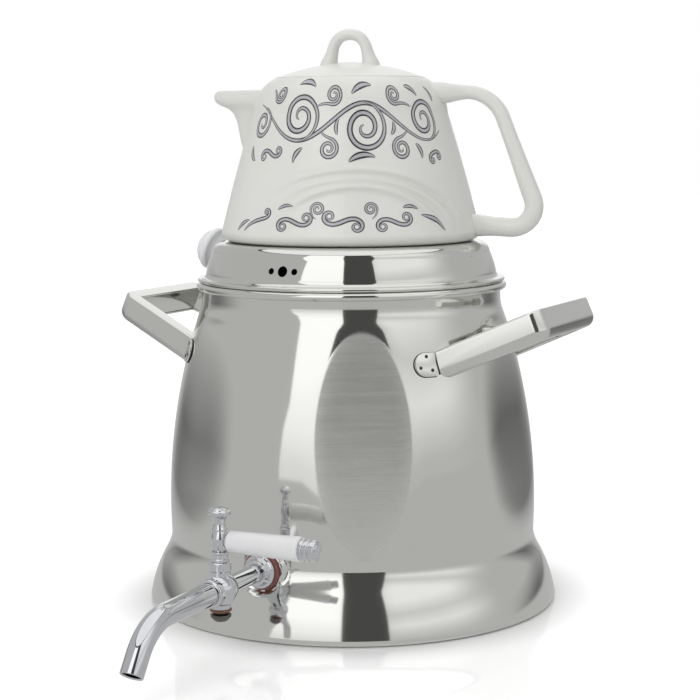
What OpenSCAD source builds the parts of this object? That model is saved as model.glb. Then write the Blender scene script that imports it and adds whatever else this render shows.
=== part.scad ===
// Hob kettle with a plug tap, a lift-off lid and a teapot that stands on the lid.
// The kettle stands on z = 0 with its axis on Z. The tap points along -Y, the handles along +X and -X.

/* [Kettle body] */
// Radius of the foot at its widest
foot_r = 118; // [112:0.5:126]
// Radius of the waist above the foot
waist_r = 105.4; // [102:0.2:109]
// Height of the waist
waist_z = 41; // [39:0.5:44]
// Radius where the barrel meets the neck
shoulder_r = 88.1; // [87:0.1:90]
// Height where the barrel meets the neck
shoulder_z = 164; // [158:0.5:170]
// How far the barrel swells beyond a straight cone
barrel_bulge = 5.7; // [5:0.1:6.5]
// Radius of the neck under the rim bead
neck_r = 85.7; // [85:0.1:86.5]
// Height of the neck and its bead above the shoulder
neck_h = 17; // [15:0.5:20]
// Radius of the rolled bead's section
bead_r = 2.3; // [1.8:0.1:2.6]
// Thickness of the steel sheet
wall = 1.2; // [0.8:0.1:1.5]
// Number of pressed panels around the barrel
panel_count = 6; // [4:1:6]
// Depth of a pressed panel at its middle
panel_depth = 3.4; // [2.4:0.1:3.8]

/* [Kettle base] */
// Radius of the heat spreader disc
spreader_r = 95; // [80:1:98]
// Thickness of the heat spreader disc
spreader_h = 6; // [4:0.5:8]

/* [Kettle lid] */
// Radius of the flange that sits on the bead
lid_flange_r = 88.2; // [87.6:0.1:89]
// Height of the lid above the bead
lid_h = 22.7; // [20:0.1:26]
// Radius of the steam opening under the teapot
steam_r = 52; // [40:1:56]
// Depth of the skirt that enters the neck
lid_skirt_h = 9; // [6:0.5:11]
// Radius of the middle vent hole
vent_r = 2.85; // [2:0.05:3.2]
// Radius of the two side vent holes
side_vent_r = 1.7; // [1:0.05:2.2]
// Distance between vent holes
vent_pitch = 7; // [6:0.1:9]
// Diameter of the lid knob
knob_d = 26; // [20:0.5:28]
// Length of the lid knob from the lid wall
knob_len = 20; // [17:0.5:24]

/* [Handles] */
// Distance from the kettle axis to a grip's outer face
grip_x = 133; // [126:1:142]
// Half the length of a grip
grip_half = 41; // [36:1:44]
// Distance across from the middle to an arm's root
root_half = 52; // [50:0.5:55]
// Height of the handle's middle where it meets the barrel
root_z = 146; // [138:1:150]
// Angle at which a handle rises outward
handle_rise = 23.7; // [15:0.1:26]
// Height of the handle band
band_h = 16; // [12:0.5:18]
// Thickness of the handle band
band_t = 8.4; // [7:0.1:10]
// Thickness of the handle sheet
strap_t = 1.2; // [0.8:0.1:1.6]
// Width of a welded lug
lug_w = 13; // [10:0.5:15]
// Length of a welded lug
lug_len = 12.5; // [10:0.5:14]
// Thickness of a welded lug
lug_t = 1.4; // [1:0.1:2]
// Radius of a spot weld
weld_r = 0.8; // [0.5:0.05:1]

/* [Tap] */
// Height of the tap's axis
tap_z = 36.5; // [33:0.5:40]
// Distance from the kettle axis to the tap's seat
tap_seat = 107.5; // [107:0.1:109]
// Distance from the seat to the plug's axis
plug_reach = 43.5; // [40:0.5:50]
// Radius of the ball-shaped tap body
ball_r = 9.3; // [9:0.1:10]
// Outer radius of the shank
shank_r = 4.9; // [4.4:0.1:5.2]
// Radius of the water way
way_r = 3; // [2.4:0.1:3.4]
// Radius of the silicone washers
washer_r = 10.5; // [9.5:0.1:10.8]
// Thickness of a silicone washer
washer_t = 2.4; // [1.6:0.1:3]
// Radius of the turning plug
plug_r = 4.5; // [4:0.1:4.8]
// Outer radius of the spout tube
spout_r = 5.9; // [5.4:0.1:6.4]
// Wall of the spout tube
spout_wall = 1.2; // [0.8:0.1:1.6]
// Straight length of the spout before its bend
spout_run = 44; // [34:1:50]
// Radius of the spout's bend
spout_bend_r = 30; // [24:1:34]
// Angle of the spout's bend
spout_bend = 56; // [45:1:60]
// Straight length after the bend
spout_tail = 11; // [6:0.5:13]
// Length of the ceramic lever grip
grip_len = 41.5; // [34:0.5:46]
// Radius of the ceramic lever grip at its outer end
grip_r = 6.4; // [5.6:0.1:6.8]

/* [Teapot] */
// Angle of the teapot handle, turned from +X
pot_turn = 14; // [-30:1:45]
// Radius of the teapot at its foot
pot_r = 74; // [68:0.5:76]
// Radius of the teapot where the shoulder begins
pot_top_r = 55.6; // [52:0.2:58]
// Height where the shoulder begins
pot_cone_h = 72; // [66:1:78]
// Height of the teapot's rim
pot_h = 91.5; // [88:0.5:98]
// Radius of the rim
pot_rim_r = 43.4; // [41:0.2:45]
// Thickness of the ceramic wall
pot_wall = 4; // [3:0.1:5]
// Distance from the axis to the spout's tip
beak_reach = 82; // [76:1:88]
// Depth of the spout's top edge below the rim
beak_drop = 6.1; // [5.6:0.1:9]
// Radius of the hollow under the spout's lip
beak_hollow_r = 20; // [16:1:24]
// Distance from the axis to the outside of the handle's foot
loop_reach = 112; // [104:1:118]
// Depth of the handle across its plane
loop_depth = 14; // [10:0.5:16]
// Thickness of the handle in its plane
loop_t = 8.6; // [7:0.2:10]
// Height of the teapot lid's dome above the rim
dome_h = 9.4; // [7:0.2:12]
// Height of the lid's loop above the dome
lid_loop_h = 18.8; // [15:0.2:20]

/* [Clearances] */
// Gap at welded, glued and seated joints
seat_gap = 0.1; // [0.05:0.01:0.2]
// Gap between parts that lift apart
lift_gap = 0.4; // [0.3:0.05:0.6]
// Running clearance of the plug and its stem
run_gap = 0.05; // [0.02:0.01:0.09]

/* [Hidden] */
$fn = 96;
over = 1;
quarter_bow = 0.29;

// Kettle profile
foot_round = 2.2;
hem_in = 4.5;
flare_z = 26.5;
flare_share = 0.325;
flare_r = waist_r + (foot_r - waist_r) * flare_share;
flare_bulge = 1.1;
waist_bulge = 0.9;
foot_lap = 0.8;
foot_top_z = waist_z + 0.5;
rim_z = shoulder_z + neck_h;
bead_mid_r = neck_r + bead_r - wall;
bead_top_z = rim_z + bead_r;
panel_step = 360 / panel_count;
panel_half_w = 45;
panel_low_z = waist_z + 5;
panel_high_z = shoulder_z - 2;
boss_in = 7;

// Base
cap_t = 1;
floor_t = 1.2;
spreader_z = cap_t;
floor_z = spreader_z + spreader_h;

// Lid
lid_t = 1;
lid_z = bead_top_z + seat_gap;
lid_top_z = lid_z + lid_h;
lid_flange_h = 2.4;
lid_wall_r = lid_flange_r - 4.8;
lid_wall_z = lid_z + 5.4;
lid_brow_r = lid_wall_r - 3.8;
lid_brow_z = lid_top_z - 5.7;
lid_flat_r = lid_brow_r - 6.6;
lid_skirt_r = neck_r - wall - lift_gap;
lid_rim_bow = 0.7;
lid_rim_in_r = lid_flange_r - lid_rim_bow;
lid_foot_bow = 0.5;
lid_wall_bow = 0.3;
lid_brow_bow = 1.7;
lip_h = 5;
vent_z = lid_wall_z + 5;
lid_slope = atan2(lid_wall_r - lid_brow_r, lid_brow_z - lid_wall_z);
knob_z = (lid_wall_z + lid_brow_z) / 2 + 1;
knob_seat_r = lid_wall_r - (knob_z - lid_wall_z) * tan(lid_slope);
knob_screw_r = 2;
knob_washer_t = 1.6;
knob_washer_r = 6;
knob_base = knob_washer_t + 5 * seat_gap;
knob_bow = 2;
knob_rim_z = 7.5;
knob_rim_h = 4.3;
knob_rim_bow = 1.1;
knob_head_r = 3.8;
knob_head_h = 2;

// Handles
root_x = 83;
grip_u = (grip_x - root_x) / cos(handle_rise);
arm_slope = (root_half - grip_half) / grip_u;
arm_angle = atan(arm_slope);
root_in = -14;
corner_r = 9;
lining_t = 1.1;
lug_gap_angle = 2.2;
lug_z = root_z - 1.4;
lug_seat_r = barrel_r(lug_z);
lug_lean = barrel_lean(lug_z);
lug_start = atan2(root_half, root_x - band_h / 2 * sin(handle_rise)) + lug_gap_angle;
lug_angle = lug_start + (lug_len - lug_w / 2) / lug_seat_r * 180 / PI;
weld_spots = [[0.6, 4.4], [-3.4, -1.6], [3.4, -3.1]];
weld_h = 0.4;
lining_screw_u = grip_u * 0.5;
lining_screw_r = 2.2;
lining_screw_h = 1.2;

// Tap
tap_hole_r = shank_r + run_gap * 2;
boss_r = washer_r + 1;
seat_rim = 0.6;
flange_h = 6.4;
flange_r = washer_r - 1.4;
flange_rim_h = 2.2;
flange_slope_h = 2.6;
flange_neck_r = shank_r + 1.7;
nut_h = 4.4;
nut_r = 8.8;
shank_in = 11;
socket_in = 3.4;
boss_top = ball_r + 0.4;
neck_boss_r = plug_r + 0.9;
stem_r = plug_r - 0.9;
collar_r = spout_r + 1.5;
collar_h = 4.6;
collar_from = sqrt(ball_r * ball_r - spout_r * spout_r) + seat_gap;
bonnet_r = 5.7;
bonnet_h = 5;
packing_h = 2;
stem_collar_h = 5;
hub_r = 4.4;
hub_h = 10.6;
stem_collar_z = boss_top + bonnet_h + 3 * seat_gap;
stem_collar_wall = 1;
hub_z = stem_collar_z + stem_collar_h + 3 * seat_gap;
lever_z = hub_z + hub_h / 2;
finial_z = hub_z + hub_h + seat_gap;
finial_h = 12;
finial_foot_r = 3.8;
finial_neck_r = 3;
finial_neck_h = 4;
finial_r = 5.8;
finial_rim_z = 8;
finial_rim_h = 2;
finial_bow = 0.5;
stud_r = 2;
arm_r = 1.5;
ferrule_t = 1.2;
ferrule_r = 3.9;
grip_from = hub_r + ferrule_t + 2 * seat_gap;
grip_to = grip_from + grip_len;
grip_root_r = grip_r - 0.8;
grip_edge = 1.1;
end_cap_h = 9;
end_cap_r = grip_r - 0.9;
end_cap_step = 0.8;
end_cap_rim_h = 1.8;
end_cap_neck_h = 4.5;
copper_t = 1.2;
copper_r = neck_boss_r + 0.3;
plug_nut_h = 5.2;
plug_nut_r = plug_r + 0.9;
plug_nut_rim = 1.6;
plug_nut_step = 0.9;

// Teapot
pot_z = lid_top_z + seat_gap;
pot_foot_round = 6;
pot_foot_in = 7;
pot_foot_h = 2;
pot_foot_w = 3;
pot_foot_bow = 1.1;
pot_cone_bow = 0.4;
rim_lip = 0.2;
shoulder_bulge = 3;
ledge_r = pot_rim_r - 4.8;
ledge_z = pot_h - 2.9;
pot_floor = pot_wall + 1;
strainer_r = 1.8;
strainer_pitch = 5.4;
beak_z = pot_h - beak_drop;
strainer_drop = 18;
strainer_z = beak_z - strainer_drop;
beak_tip_r = 4.6;
beak_tip_h = 6;
beak_root_r = 15;
beak_root_h = 34;
beak_low_r = 6;
beak_wall = 2.6;
loop_drop = 8.1;
loop_lean = 32;
loop_heel_in = 3;
loop_heel_z = 7;
loop_corner_r = 11;
loop_root_in = 10;
lid_rim_r = pot_rim_r - rim_lip - lift_gap;
lid_plug_r = ledge_r - lift_gap;
lid_plug_h = 8;
lid_plug_wall = 3;
lid_seat_z = ledge_z + seat_gap;
lid_edge_z = pot_h + rim_lip;
dome_z = pot_h + dome_h;
dome_bulge = 1.4;
lid_loop_t = 6.4;
lid_loop_depth = 9.4;
lid_loop_w = 27;
lid_loop_flare = 4.5;
lid_loop_sink = 4;
lid_loop_arch = 8.3;

// Points on an arc from p to q that bows out by bulge on its right-hand side
function arc(p, q, bulge, n = 8) =
  let (c = q - p, l = norm(c), u = c / l, v = [u.y, -u.x])
  let (r = (l * l / 4 + bulge * bulge) / (2 * abs(bulge)), a = asin(min(1, l / 2 / r)))
  [for (i = [0:n]) let (t = -a + 2 * a * i / n)
    (p + q) / 2 + u * r * sin(t) + v * sign(bulge) * r * (cos(t) - cos(a))];

// Polygon with its corners rounded by the radii in rs
function rounded(pts, rs, n = 6) =
  [for (i = [0:len(pts) - 1])
    let (p = pts[i], a = pts[(i + len(pts) - 1) % len(pts)], b = pts[(i + 1) % len(pts)], r = rs[i])
    let (u = (a - p) / norm(a - p), v = (b - p) / norm(b - p), half = acos(u * v) / 2)
    let (d = r / tan(half), m = (u + v) / norm(u + v), c = p + m * (r / sin(half)))
    let (s = p + u * d - c, e = p + v * d - c)
    for (k = [0:r > 0 ? n : 0]) r > 0 ? c + slide_on(s, e, k / n) * r : p];

// Unit vector a share t of the way round from s to e
function slide_on(s, e, t) =
  let (w = s * (1 - t) + e * t)
  w / norm(w);

// Centre and radius of the circle through p and q that bows out by bulge
function bow_circle(p, q, bulge) =
  let (c = q - p, l = norm(c), r = (l * l / 4 + bulge * bulge) / (2 * bulge), v = [c.y, -c.x] / l)
  [(p + q) / 2 - v * (r - bulge), r];

// Circle that the barrel's side follows
function barrel_circle() = bow_circle([waist_r, waist_z], [shoulder_r, shoulder_z], barrel_bulge);

// Radius of the barrel at height z
function barrel_r(z) =
  let (b = barrel_circle(), d = z - b[0].y)
  b[0].x + sqrt(b[1] * b[1] - d * d);

// Angle at which the barrel leans in at height z
function barrel_lean(z) =
  let (b = barrel_circle())
  asin((z - b[0].y) / b[1]);

// Outside of the foot, from its rounded edge up to where it runs into the barrel
function foot_line() = concat(
  arc([foot_r - foot_round, 0], [foot_r, foot_round], foot_round * quarter_bow, 4),
  arc([foot_r, foot_round], [flare_r, flare_z], flare_bulge, 6),
  arc([flare_r, flare_z], [waist_r - foot_lap, foot_top_z], -waist_bulge, 6));

// Points moved in by inset
function drawn_in(pts, inset) = [for (p = pts) [p.x - inset, p.y]];

// Kettle form drawn in by inset from the height low, with its pressed panels and the tap's flat seat
module kettle_form(inset, low, high) {
  foot = drawn_in([for (p = foot_line()) if (p.y >= low) p], inset);
  side = barrel_circle();
  difference() {
    union() {
      rotate_extrude() polygon(concat([[0, low], [foot[0].x, low]], foot, [[0, foot_top_z]]));
      rotate_extrude() intersection() {
        translate(side[0] - [inset, 0]) circle(side[1], $fn = 360);
        translate([0, flare_z]) square([foot_r, rim_z - flare_z]);
      }
      translate([0, 0, waist_z]) cylinder(r = neck_r - inset, h = high - waist_z);
      tap_side() translate([0, 0, -boss_in]) cylinder(r = boss_r - inset, h = boss_in - inset);
    }
    for (i = [0:panel_count - 1]) rotate(i * panel_step) panel_press(inset);
    tap_side() translate([0, 0, -inset]) cylinder(r = boss_r + seat_rim + inset, h = boss_in);
  }
}

// What is pressed away on one panel, outside an upright arc
module panel_press(inset) {
  low = [barrel_r(panel_low_z), panel_low_z];
  high = [barrel_r(panel_high_z), panel_high_z];
  face = bow_circle(low, high, barrel_bulge - panel_depth);
  rotate([90, 0, 0]) translate([0, 0, -panel_half_w]) linear_extrude(panel_half_w * 2) difference() {
    translate([neck_r / 2, low.y - over]) square([foot_r, high.y - low.y + 2 * over]);
    translate(face[0] - [inset, 0]) circle(face[1], $fn = 360);
  }
}

// Frame of the tap: Z runs out of the kettle from the seat, Y is up
module tap_side() { translate([0, -tap_seat, tap_z]) rotate([90, 0, 0]) children(); }

// Frame of the plug: Z is its turning axis, the origin is the middle of the ball
module plug_side() { translate([0, -tap_seat - plug_reach, tap_z]) children(); }

// Ring from radius a to radius b
module ring(a, b, h) {
  difference() {
    cylinder(r = b, h = h);
    translate([0, 0, -over]) cylinder(r = a, h = h + 2 * over);
  }
}

module kettle_shell() color("silver") difference() {
  union() {
    kettle_form(0, 0, rim_z);
    rotate_extrude() translate([bead_mid_r, rim_z]) circle(bead_r);
  }
  kettle_form(wall, foot_round, rim_z + bead_r + over);
  translate([0, 0, -over]) cylinder(r = foot_r - foot_round - hem_in, h = foot_round + 2 * over);
  tap_side() translate([0, 0, -boss_in - over]) cylinder(r = tap_hole_r, h = boss_in + 2 * over);
}

module kettle_floor() color("gainsboro") intersection() {
  kettle_form(wall + seat_gap, foot_round, rim_z);
  translate([0, 0, floor_z]) cylinder(r = foot_r, h = floor_t);
}

module heat_spreader() color("darkgray")
  translate([0, 0, spreader_z]) cylinder(r = spreader_r, h = spreader_h);

module base_cap() color("silver") {
  cylinder(r = spreader_r + seat_gap + cap_t, h = cap_t);
  translate([0, 0, cap_t]) ring(spreader_r + seat_gap, spreader_r + seat_gap + cap_t, spreader_h - seat_gap);
}

// Handles lie in a sloping plane: X runs out along it, Z is square to it
module handle_plane(side) {
  mirror([side < 0 ? 1 : 0, 0, 0]) translate([root_x, 0, root_z]) rotate([0, -handle_rise, 0]) children();
}

// Outline of the handle loop, drawn in by inset
function loop_outline(inset, back = 0) =
  let (edge = inset / cos(arm_angle), u = grip_u - inset, r = max(corner_r - inset, 1))
  let (tip = root_half - arm_slope * u - edge, low = root_in - back)
  let (root = root_half - arm_slope * low - edge)
  rounded([[low, -root], [u, -tip], [u, tip], [low, root]], [0, r, r, 0]);

// Band between two insets of the handle loop
module handle_band(from, to, h) {
  translate([0, 0, -h / 2]) difference() {
    linear_extrude(h) polygon(loop_outline(from));
    translate([0, 0, -over]) linear_extrude(h + 2 * over) polygon(loop_outline(to, over));
  }
}

module handle_strap(side) color("silver") difference() {
  handle_plane(side) difference() {
    handle_band(0, band_t, band_h);
    handle_band(strap_t, band_t + over, band_h - 2 * strap_t);
  }
  kettle_form(-seat_gap, 0, rim_z + bead_r);
}

module handle_lining(side) color("whitesmoke") difference() {
  handle_plane(side) difference() {
    handle_band(band_t - lining_t, band_t, band_h - 2 * strap_t - 2 * seat_gap);
    for (arm = [-1, 1]) lining_screw_at(arm) translate([0, 0, -lining_t - over])
      cylinder(r = lining_screw_r / 2 + seat_gap, h = lining_t + 2 * over);
  }
  kettle_form(-seat_gap, 0, rim_z + bead_r);
}

// Frame of a lining screw: Z points from an arm's inner face into the finger gap
module lining_screw_at(arm) {
  v = root_half - arm_slope * lining_screw_u - band_t / cos(arm_angle);
  translate([lining_screw_u, arm * v, -band_h / 5]) rotate([0, 0, -arm * arm_angle]) rotate([arm * 90, 0, 0])
    children();
}

module lining_screws(side) color("dimgray") handle_plane(side)
  for (arm = [-1, 1]) lining_screw_at(arm) {
    translate([0, 0, seat_gap]) cylinder(r = lining_screw_r, h = lining_screw_h);
    translate([0, 0, -band_t + strap_t + seat_gap]) cylinder(r = lining_screw_r / 2, h = band_t - strap_t);
  }

// Frame of a lug on the barrel: Z is square to the sheet, X runs towards the arm
module lug_at(side, arm) {
  mirror([side < 0 ? 1 : 0, 0, 0]) mirror([0, arm > 0 ? 1 : 0, 0])
    rotate(-lug_angle) translate([lug_seat_r + seat_gap, 0, lug_z])
      rotate([0, 90 - lug_lean, 0]) rotate(90) children();
}

module handle_lugs(side) color("silver") for (arm = [-1, 1]) lug_at(side, arm) {
  cylinder(d = lug_w, h = lug_t);
  translate([0, -lug_w / 2, 0]) cube([lug_len - lug_w / 2, lug_w, lug_t]);
}

module lug_welds(side) color("gray") for (arm = [-1, 1]) lug_at(side, arm)
  for (s = weld_spots) translate([s.x, s.y, lug_t]) cylinder(r = weld_r, h = weld_h, $fn = 24);

module tap_shank() color("lightgray") tap_side() translate([0, 0, -shank_in])
  ring(way_r, shank_r, shank_in + plug_reach - ball_r + socket_in - seat_gap);

module tap_flange() color("gainsboro") tap_side() translate([0, 0, washer_t]) difference() {
  union() {
    cylinder(r = flange_r, h = flange_rim_h);
    translate([0, 0, flange_rim_h]) cylinder(r1 = flange_r, r2 = flange_neck_r, h = flange_slope_h);
    cylinder(r = flange_neck_r, h = flange_h);
  }
  translate([0, 0, -over]) cylinder(r = tap_hole_r, h = flange_h + 2 * over);
}

module outer_washer() color("brown") tap_side() ring(tap_hole_r, washer_r, washer_t);

module inner_washer() color("brown") tap_side() translate([0, 0, -wall - washer_t])
  ring(tap_hole_r, washer_r - wall - seat_gap, washer_t);

module lock_nut() color("goldenrod") tap_side() translate([0, 0, -wall - washer_t - nut_h]) difference() {
  cylinder(r = nut_r, h = nut_h, $fn = 6);
  translate([0, 0, -over]) cylinder(r = tap_hole_r, h = nut_h + 2 * over);
}

module tap_body() color("lightgray") difference() {
  plug_side() {
    sphere(r = ball_r);
    translate([0, 0, -boss_top]) cylinder(r = neck_boss_r, h = boss_top * 2);
  }
  plug_side() translate([0, 0, -boss_top - over]) cylinder(r = plug_r + run_gap, h = 2 * (boss_top + over));
  tap_side() translate([0, 0, plug_reach - ball_r * 2]) cylinder(r = way_r, h = ball_r * 4);
  tap_side() translate([0, 0, plug_reach - ball_r * 2])
    cylinder(r = tap_hole_r, h = ball_r + socket_in);
  tap_side() translate([0, 0, plug_reach + collar_from - seat_gap]) cylinder(r = ball_r, h = ball_r);
}

module bonnet_nut() color("gainsboro") plug_side() translate([0, 0, boss_top])
  ring(stem_r + run_gap, bonnet_r, bonnet_h);

module gland_packing() color("ivory") plug_side() translate([0, 0, boss_top - packing_h])
  ring(stem_r + run_gap, plug_r, packing_h - seat_gap);

module spout_collar() color("gainsboro") tap_side() translate([0, 0, plug_reach + collar_from])
  ring(spout_r + seat_gap, collar_r, collar_h);

// Middle line of the spout, out from the axis and up: a run, a bend downwards and a tail
function spout_line(extra) =
  let (start = tap_seat + plug_reach + collar_from, turn = [start + spout_run, tap_z - spout_bend_r])
  let (end = turn + spout_bend_r * [sin(spout_bend), cos(spout_bend)])
  concat(
    [[start - extra, tap_z]],
    [for (i = [0:10]) let (a = spout_bend * i / 10) turn + spout_bend_r * [sin(a), cos(a)]],
    [end + (spout_tail + extra) * [cos(spout_bend), -sin(spout_bend)]]);

module tap_spout() color("lightgray") rotate(-90) difference() {
  loop_tube(spout_line(0), spout_r, spout_r, 28);
  loop_tube(spout_line(over), spout_r - spout_wall, spout_r - spout_wall, 28);
}

module tap_plug() color("goldenrod") plug_side() difference() {
  union() {
    translate([0, 0, -boss_top]) cylinder(r = plug_r, h = 2 * boss_top - packing_h - seat_gap);
    cylinder(r = stem_r, h = hub_z - 2 * seat_gap);
    cylinder(r = stud_r, h = finial_z + finial_h / 2);
    translate([0, 0, -boss_top - copper_t - plug_nut_h + over]) cylinder(r = stud_r, h = boss_top);
  }
  rotate([0, 90, 0]) translate([0, 0, -plug_r * 2]) cylinder(r = way_r, h = plug_r * 4);
  translate([0, 0, lever_z]) rotate([0, 90, 0]) cylinder(r = arm_r + seat_gap, h = plug_r * 2);
}

module stem_collar() color("gainsboro") plug_side() translate([0, 0, stem_collar_z])
  ring(stem_r + seat_gap, stem_r + seat_gap + stem_collar_wall, stem_collar_h);

module lever_hub() color("gainsboro") plug_side() difference() {
  translate([0, 0, hub_z]) cylinder(r = hub_r, h = hub_h);
  translate([0, 0, hub_z - over]) cylinder(r = stud_r + seat_gap, h = hub_h + 2 * over);
  translate([0, 0, lever_z]) rotate([0, 90, 0]) cylinder(r = arm_r + seat_gap, h = hub_r * 2);
}

module plug_finial() color("gainsboro") plug_side() translate([0, 0, finial_z]) difference() {
  rotate_extrude() polygon(concat(
    [[0, 0], [finial_foot_r, 0]],
    arc([finial_foot_r, 0], [finial_neck_r, finial_neck_h], -finial_bow, 4),
    arc([finial_neck_r, finial_neck_h], [finial_r, finial_rim_z], -finial_bow, 4),
    arc([finial_r, finial_rim_z + finial_rim_h], [0, finial_h], finial_bow, 5)));
  translate([0, 0, -over]) cylinder(r = stud_r + seat_gap, h = finial_h / 2 + over);
}

// Frame of the lever: Z runs out along it from the plug's axis
module lever_side() { plug_side() translate([0, 0, lever_z]) rotate([0, 90, 0]) children(); }

module lever_arm() color("gray") lever_side() translate([0, 0, seat_gap])
  cylinder(r = arm_r, h = grip_to + end_cap_h / 2);

module lever_ferrule() color("gainsboro") lever_side() translate([0, 0, hub_r + seat_gap])
  ring(arm_r + seat_gap, ferrule_r, ferrule_t);

module lever_grip() color("white") lever_side() translate([0, 0, grip_from]) difference() {
  rotate_extrude() polygon(concat(
    [[0, 0]], arc([grip_root_r - grip_edge, 0], [grip_root_r, grip_edge], grip_edge * quarter_bow, 3),
    arc([grip_r, grip_len - grip_edge], [grip_r - grip_edge, grip_len], grip_edge * quarter_bow, 3),
    [[0, grip_len]]));
  translate([0, 0, -over]) cylinder(r = arm_r + seat_gap, h = grip_len + 2 * over);
}

module lever_end_cap() color("gainsboro") lever_side() translate([0, 0, grip_to + seat_gap]) difference() {
  rotate_extrude() polygon([
    [0, 0], [end_cap_r, 0], [end_cap_r, end_cap_rim_h],
    [end_cap_r - end_cap_step, end_cap_rim_h + end_cap_step], [end_cap_r - end_cap_step, end_cap_neck_h],
    [end_cap_r, end_cap_neck_h + end_cap_step], [end_cap_r, end_cap_h - end_cap_step],
    [end_cap_r - end_cap_step, end_cap_h], [0, end_cap_h]]);
  translate([0, 0, -over]) cylinder(r = arm_r + seat_gap, h = end_cap_h / 2 + over);
}

module plug_washer() color("peru") plug_side() translate([0, 0, -boss_top - copper_t - seat_gap])
  ring(stud_r + seat_gap, copper_r, copper_t);

module plug_nut() color("darkgray") plug_side()
  translate([0, 0, -boss_top - copper_t - seat_gap - plug_nut_h]) difference() {
    rotate_extrude() polygon([
      [0, 0], [plug_nut_r - 2 * plug_nut_step, 0], [plug_nut_r, plug_nut_h - 2 * plug_nut_rim],
      [plug_nut_r, plug_nut_h - plug_nut_rim], [plug_nut_r - 2 * plug_nut_step, plug_nut_h - plug_nut_step],
      [plug_nut_r - 2 * plug_nut_step, plug_nut_h], [0, plug_nut_h]]);
    translate([0, 0, over]) cylinder(r = stud_r + seat_gap, h = plug_nut_h);
  }

// Lid's outer line from the top down to the flange, drawn in by inset
function lid_outline(inset) = concat(
  arc([lid_wall_r - inset, lid_wall_z], [lid_brow_r - inset, lid_brow_z], lid_wall_bow, 4),
  arc([lid_brow_r - inset, lid_brow_z], [lid_flat_r, lid_top_z - inset], lid_brow_bow, 6));

module kettle_lid() color("silver") difference() {
  rotate_extrude() polygon(concat(
    [[lid_skirt_r, lid_z - lid_skirt_h], [lid_skirt_r, lid_z]],
    arc([lid_rim_in_r, lid_z], [lid_rim_in_r, lid_z + lid_flange_h], lid_rim_bow, 5),
    arc([lid_wall_r + 4 * lid_foot_bow, lid_z + lid_flange_h], [lid_wall_r, lid_wall_z], -lid_foot_bow, 4),
    lid_outline(0), [[steam_r, lid_top_z], [steam_r, lid_top_z - lip_h]],
    [[steam_r + lid_t, lid_top_z - lip_h], [steam_r + lid_t, lid_top_z - lid_t]],
    [for (i = [len(lid_outline(0)) - 1:-1:0]) lid_outline(lid_t)[i]],
    [[lid_skirt_r - lid_t, lid_z + lid_flange_h], [lid_skirt_r - lid_t, lid_z - lid_skirt_h]]));
  for (k = [-1:1]) translate([k * vent_pitch, -steam_r - 2 * lid_t, vent_z]) rotate([90, 0, 0])
    cylinder(r = k == 0 ? vent_r : side_vent_r, h = lid_flange_r - steam_r);
  knob_side() translate([0, 0, -3 * lid_t]) cylinder(r = knob_screw_r + seat_gap, h = 6 * lid_t);
}

// Frame of the lid knob: Z leaves the lid wall square to it, towards -X
module knob_side() { translate([-knob_seat_r, 0, knob_z]) rotate([0, lid_slope - 90, 0]) children(); }

module lid_knob() color("white") knob_side() translate([0, 0, knob_base]) difference() {
  tall = knob_len - knob_base;
  rim = [knob_d / 2 - knob_rim_bow, knob_rim_z];
  crown = rim + [-knob_rim_bow / 2, knob_rim_h];
  rotate_extrude() polygon(concat(
    [[0, 0]], arc([knob_washer_r - seat_gap, 0], rim, -knob_bow, 6),
    arc(rim, crown, knob_rim_bow, 5), arc(crown, [0, tall], knob_bow, 8)));
  translate([0, 0, -over]) cylinder(r = knob_screw_r + seat_gap, h = tall / 2 + 2 * over);
}

module knob_washer() color("lightgray") knob_side() translate([0, 0, 4 * seat_gap])
  ring(knob_screw_r + seat_gap, knob_washer_r, knob_washer_t);

module knob_screw() color("gray") knob_side() {
  translate([0, 0, -lid_t - seat_gap - knob_head_h]) cylinder(r = knob_head_r, h = knob_head_h);
  translate([0, 0, -lid_t - seat_gap - over]) cylinder(r = knob_screw_r, h = lid_t + knob_len / 2 - over);
}

// Frame of the teapot: X runs to its handle, Z is up from where it stands
module pot_side() { translate([0, 0, pot_z]) rotate(pot_turn) children(); }

// Outside of the teapot from its foot to its rim
function pot_outline() = concat(
  [[0, pot_foot_h], [pot_r - pot_foot_in - pot_foot_w - over, pot_foot_h]],
  [[pot_r - pot_foot_in - pot_foot_w, 0], [pot_r - pot_foot_in, 0]],
  arc([pot_r - pot_foot_in / 2, over / 2], [pot_r, pot_foot_round], pot_foot_bow, 5),
  arc([pot_r, pot_foot_round], [pot_top_r, pot_cone_h], pot_cone_bow, 6),
  arc([pot_top_r, pot_cone_h], [pot_rim_r, pot_h], shoulder_bulge, 8));

// Solid teapot form, grown by grow
module pot_form(grow) {
  rotate_extrude() polygon(concat(
    [for (p = pot_outline()) [p.x > 0 ? p.x + grow : 0, p.y]], [[0, pot_h]]));
}

module teapot_body() color("ivory") pot_side() difference() {
  pot_form(0);
  rotate_extrude() polygon(concat(
    [[0, pot_floor], [pot_r - 2 * pot_wall, pot_floor], [pot_r - pot_wall, pot_floor + pot_wall]],
    [[pot_top_r - pot_wall, pot_cone_h], [ledge_r, ledge_z - pot_wall], [ledge_r, ledge_z]],
    [[pot_rim_r - rim_lip, ledge_z], [pot_rim_r - rim_lip, pot_h + over], [0, pot_h + over]]));
  for (a = [-1:1], b = [-1:1]) translate([0, a * strainer_pitch, strainer_z + b * strainer_pitch])
    rotate([0, -90, 0]) cylinder(r = strainer_r, h = pot_r);
}

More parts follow.
